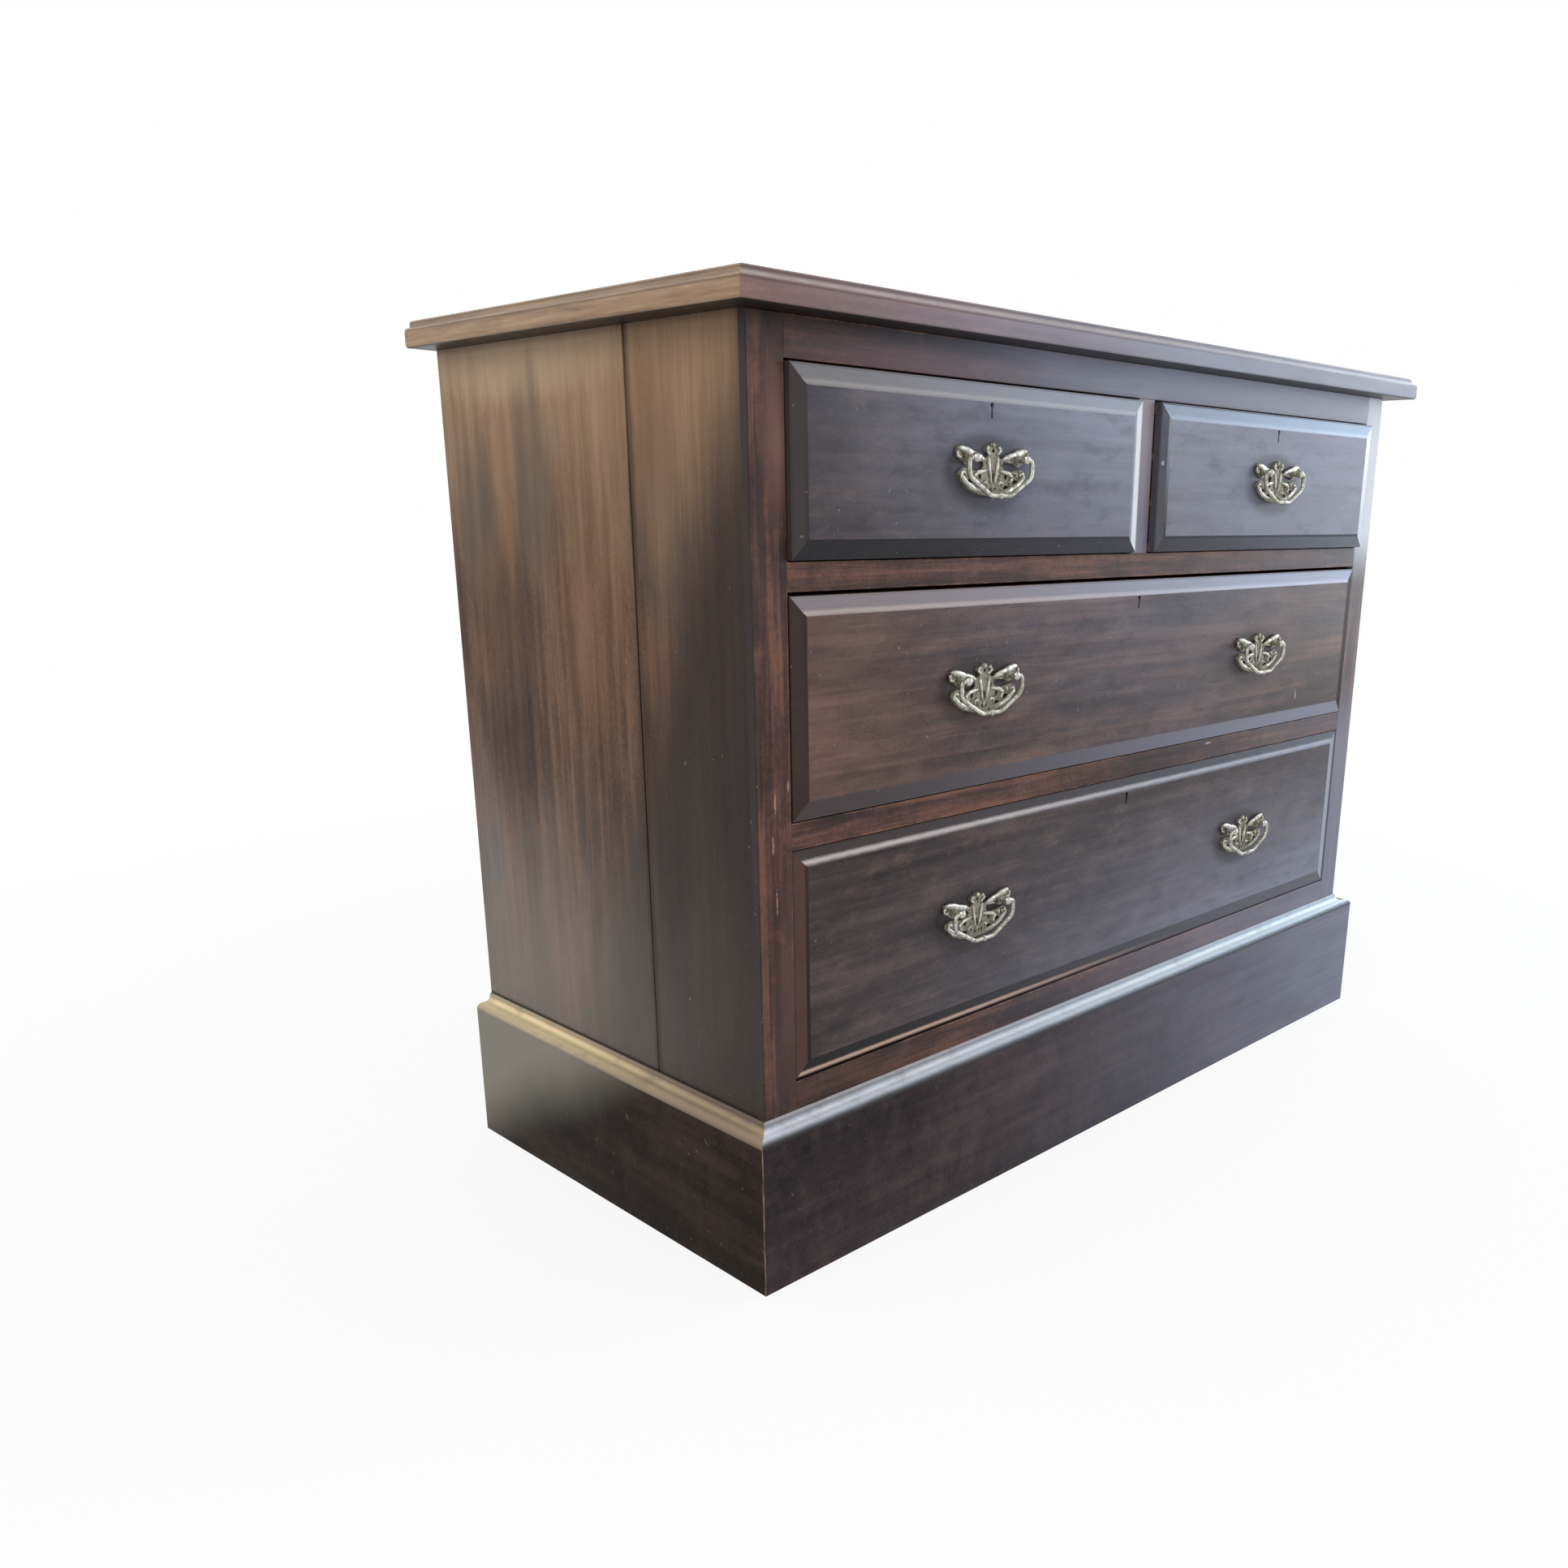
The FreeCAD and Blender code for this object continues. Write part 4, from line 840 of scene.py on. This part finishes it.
# ---- handle plates and posts ---------------------------------------------------------
# Each plate is one pierced brass casting of leaf scrolls with a small crown, held by the
# nuts of its two posts inside the drawer. The ground is dark with old polish; the leaves
# stand out from it and are rubbed bright.
brass_dull = (0.265, 0.248, 0.190)
plate_thickness = 0.0024
plate_leaves = [
    # wing: long upper leaf, then the curl that ends it
    [(10.5, -1.8, 1.0, 0.9), (16.0, 0.8, 2.8, 1.9), (22.0, 2.2, 3.6, 2.6),
     (27.0, 3.6, 3.2, 2.1), (34.0, 5.4, 4.2, 2.8), (41.0, 7.2, 3.2, 2.2),
     (46.0, 7.8, 1.5, 1.2)],
    [(44.0, 6.4, 1.0, 1.0), (46.8, 4.6, 1.7, 1.8), (46.0, 1.0, 1.9, 1.9),
     (42.4, -0.2, 1.8, 1.8), (41.0, 2.6, 1.1, 1.2)],
    # under the wing, a thin lip along the pierced slot
    [(14.0, -2.2, 0.7, 0.7), (20.0, -1.6, 1.5, 1.4), (27.0, -2.8, 1.6, 1.4)],
    # lower leaf: out along the bottom edge and curled in at its end
    [(6.0, -27.5, 1.0, 0.6), (14.0, -27.2, 2.2, 1.0), (24.0, -25.2, 2.8, 1.6),
     (34.0, -20.8, 3.0, 2.2), (41.0, -14.8, 2.6, 2.3), (39.6, -11.2, 2.1, 2.0),
     (35.8, -12.6, 1.7, 1.8), (36.6, -15.4, 1.0, 1.1)],
    # inner leaves between the stem and the bottom edge
    [(6.5, -9.5, 1.0, 0.9), (12.0, -10.2, 2.1, 1.8), (20.0, -11.6, 2.6, 2.3),
     (25.4, -14.8, 2.2, 2.1), (23.4, -19.4, 1.9, 1.8), (19.6, -18.4, 1.2, 1.2)],
    [(6.4, -23.4, 1.1, 0.9), (9.6, -19.0, 2.1, 1.7), (13.2, -20.6, 2.0, 1.7),
     (12.4, -24.4, 1.2, 1.0)],
    [(26.6, -10.6, 1.0, 0.9), (31.0, -11.8, 2.0, 1.9), (32.6, -15.6, 1.6, 1.4)],
    # edge of the stem, a broad strap that narrows downwards
    [(6.4, 3.4, 1.0, 0.9), (6.0, -3.0, 2.2, 2.0), (4.6, -10.0, 2.1, 1.9),
     (2.8, -18.0, 1.6, 1.4), (1.8, -22.5, 0.8, 0.7)],
    # side lobe of the crown
    [(2.4, 3.6, 0.9, 0.8), (6.0, 3.8, 1.8, 1.7), (9.0, 6.6, 2.0, 2.0),
     (7.2, 9.6, 1.9, 1.9), (4.6, 8.4, 1.1, 1.1)],
]
plate_middle = [
    # middle lobe of the crown, and the drop at the foot of the stem
    [(0.0, 8.4, 1.0, 0.9), (0.0, 10.4, 2.5, 2.0), (0.0, 12.8, 1.0, 0.9)],
    [(0.0, -19.6, 0.9, 0.7), (0.0, -22.4, 2.8, 1.2), (0.0, -28.2, 1.4, 0.5)],
]


def leaf(shape, points, centre, side):
    """A tapered, half sunk scroll. Each point gives X and Z from the posts' height, then
    the half width and the rise in front of the plate, in millimetres."""
    places = [Vector((centre.x + side * x / 1000, centre.y, centre.z + z / 1000))
              for x, z, _, _ in points]
    ways = [places[min(i + 1, len(places) - 1)] - places[max(i - 1, 0)]
            for i in range(len(places))]
    outward = Vector((0, -1, 0))
    previous = None
    for place, way, (_, _, half_width, rise) in zip(places, ways, points):
        along = way.normalized()
        across = outward.cross(along) * half_width / 1000
        turn = Matrix((across, outward * rise / 1000, along * 0.001)).transposed()
        now = Matrix.Translation(place) @ turn.to_4x4()
        if previous is None:
            ring = bmesh.ops.create_circle(shape, cap_ends=True, segments=6, radius=1.0,
                                           matrix=now)["verts"]
            end = ring[0].link_faces[0]
        else:
            grown = bmesh.ops.extrude_face_region(shape, geom=[end])["geom"]
            ring = [piece for piece in grown if isinstance(piece, bmesh.types.BMVert)]
            end = [piece for piece in grown if isinstance(piece, bmesh.types.BMFace)][0]
            bmesh.ops.transform(shape, matrix=now @ previous.inverted(), verts=ring)
        previous = now


def made_piece(name, shape, finish, body):
    """Turn a finished bmesh into a piece of the chest that rides on a body."""
    bmesh.ops.recalc_face_normals(shape, faces=shape.faces)
    for face in shape.faces:
        face.smooth = True
    mesh = bpy.data.meshes.new(name)
    shape.to_mesh(mesh)
    shape.free()
    mesh.materials.append(finish.material)
    piece = bpy.data.objects.new(name, mesh)
    bpy.context.scene.collection.objects.link(piece)
    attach(piece, body)
    return piece


def round_off(piece, levels):
    rounding = piece.modifiers.new("rounding", "SUBSURF")
    rounding.levels = rounding.render_levels = levels


for number, (drawer, plates) in enumerate(handles.items()):
    low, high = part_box(drawer + "_drawer_front")
    fittings = Finish(drawer + "_handle_fittings")
    forward = (low.y - fittings.y).rise(0.0026, 0.0060)
    dress(drawer + "_handle_fittings",
          brass(fittings, brass_dull, 0.10 + forward * 0.50, 130.0 + number))
    for handle, side in plates:
        centre = Vector((side * handle_from_middle, low.y - plate_thickness,
                         (low.z + high.z) / 2 + handle_rise))
        scrolls = bmesh.new()
        for points in plate_leaves:
            leaf(scrolls, points, centre, 1)
            leaf(scrolls, points, centre, -1)
        for points in plate_middle:
            leaf(scrolls, points, centre, 1)
        cast = Finish(handle + "_plate_leaves")
        forward = (centre.y - cast.y).rise(0.0, 0.0018)
        brass(cast, brass_dull, 0.10 + forward * 0.55, 150.0 + number)
        leaves = made_piece(handle + "_plate_leaves", scrolls, cast, drawer + "_drawer")
        round_off(leaves, 2)


# ---- bails ---------------------------------------------------------------------------
# Round brass rod bent to a drop with a bead at its middle, its two ends in the posts so
# that it swings. Hands have kept it bright along its whole length.
bails = [handle + "_bail" for plates in handles.values() for handle, _ in plates]
for number, bail in enumerate(bails):
    dress(bail, brass(Finish(bail), brass_dull, 0.50, 140.0 + number))


# ---- room ----------------------------------------------------------------------------
# Pale floor, an even white surround and three soft windows: a cool one on the right, a
# weaker one beside it toward the front, and a warm one high on the left.
white = (1.0, 1.0, 1.0)
floor_pale = (0.90, 0.90, 0.90)
floor_whitened = 0.86           # share near the chest; the rest shows its shadow
sky_cool = (0.93, 0.96, 1.0)
sky_strength = 0.70


def seen(shading):
    """1 where the camera looks, straight, in a gloss or through glass."""
    rays = shading.node("ShaderNodeLightPath").outputs
    straight, glossy, through = [Number(shading, rays[f"Is {kind} Ray"])
                                 for kind in ("Camera", "Glossy", "Transmission")]
    return straight.most(glossy).most(through)


floor_mesh = bpy.data.meshes.new("floor")
floor_shape = bmesh.new()
bmesh.ops.create_grid(floor_shape, x_segments=1, y_segments=1, size=60.0)
floor_shape.to_mesh(floor_mesh)
floor_shape.free()
floor = bpy.data.objects.new("floor", floor_mesh)
bpy.context.scene.collection.objects.link(floor)
floor_finish = Finish("floor")
floor_finish.plug(floor_finish.shader, {
    "Base Color": floor_pale, "Roughness": 0.9, "Specular IOR Level": 0.0})
far = (floor_finish.x * floor_finish.x + floor_finish.y * floor_finish.y).rise(0.8, 3.5)
floor_glow = floor_finish.node("ShaderNodeEmission", {}, {"Color": white})
floor_mix = floor_finish.node("ShaderNodeMixShader", {}, {
    0: seen(floor_finish) * (floor_whitened + far * (1.0 - floor_whitened)),
    1: floor_finish.shader.outputs[0], 2: floor_glow.outputs[0]})
floor_finish.plug(floor_finish.nodes["Material Output"], {"Surface": floor_mix.outputs[0]})
floor_mesh.materials.append(floor_finish.material)

surround = bpy.data.worlds.new("surround")
surround.use_nodes = True
bpy.context.scene.world = surround
sky = Shading(surround.node_tree)
sky.plug(sky.nodes["Background"], {"Color": sky_cool, "Strength": sky_strength})
backdrop = sky.node("ShaderNodeBackground", {}, {"Color": white})
sky_mix = sky.node("ShaderNodeMixShader", {}, {
    0: seen(sky), 1: sky.nodes["Background"].outputs[0], 2: backdrop.outputs[0]})
sky.plug(sky.nodes["World Output"], {"Surface": sky_mix.outputs[0]})


def soft_window(name, centre, toward, size, watts, tint):
    lamp = bpy.data.lights.new(name, "AREA")
    lamp.shape = "RECTANGLE"
    lamp.size, lamp.size_y = size
    lamp.energy = watts
    lamp.color = tint
    window = bpy.data.objects.new(name, lamp)
    bpy.context.scene.collection.objects.link(window)
    window.location = centre
    away = Vector(centre) - Vector(toward)
    window.rotation_euler = away.to_track_quat("Z", "Y").to_euler()


soft_window("right_window", centre=(3.2, -0.55, 1.25), toward=(0.0, -0.4, 0.9),
            size=(2.0, 2.2), watts=55, tint=(0.84, 0.92, 1.0))
soft_window("front_window", centre=(3.0, -2.6, 1.45), toward=(0.0, -0.2, 0.7),
            size=(2.2, 2.0), watts=14, tint=(0.80, 0.90, 1.0))
soft_window("left_window", centre=(-2.6, -1.2, 2.7), toward=(0.0, 0.0, 0.5),
            size=(2.0, 2.0), watts=40, tint=(1.0, 0.96, 0.90))

camera_data = bpy.data.cameras.new("camera")
camera_data.sensor_width = 36.0
camera_data.lens = 30.826
camera_data.shift_x = -0.0892
camera_data.shift_y = 0.0788
camera = bpy.data.objects.new("camera", camera_data)
bpy.context.scene.collection.objects.link(camera)
camera_place = Vector((-1.1686, -1.0205, 0.6503))
camera_right = Vector((0.6885, -0.7252, 0.0108))
camera_up = Vector((0.1987, 0.2029, 0.9588))
camera_back = Vector((-0.6975, -0.6580, 0.2838))
camera_turn = Matrix((camera_right, camera_up, camera_back)).transposed()
camera.matrix_world = Matrix.Translation(camera_place) @ camera_turn.to_4x4()
bpy.context.scene.camera = camera
bpy.context.scene.view_settings.view_transform = "Standard"
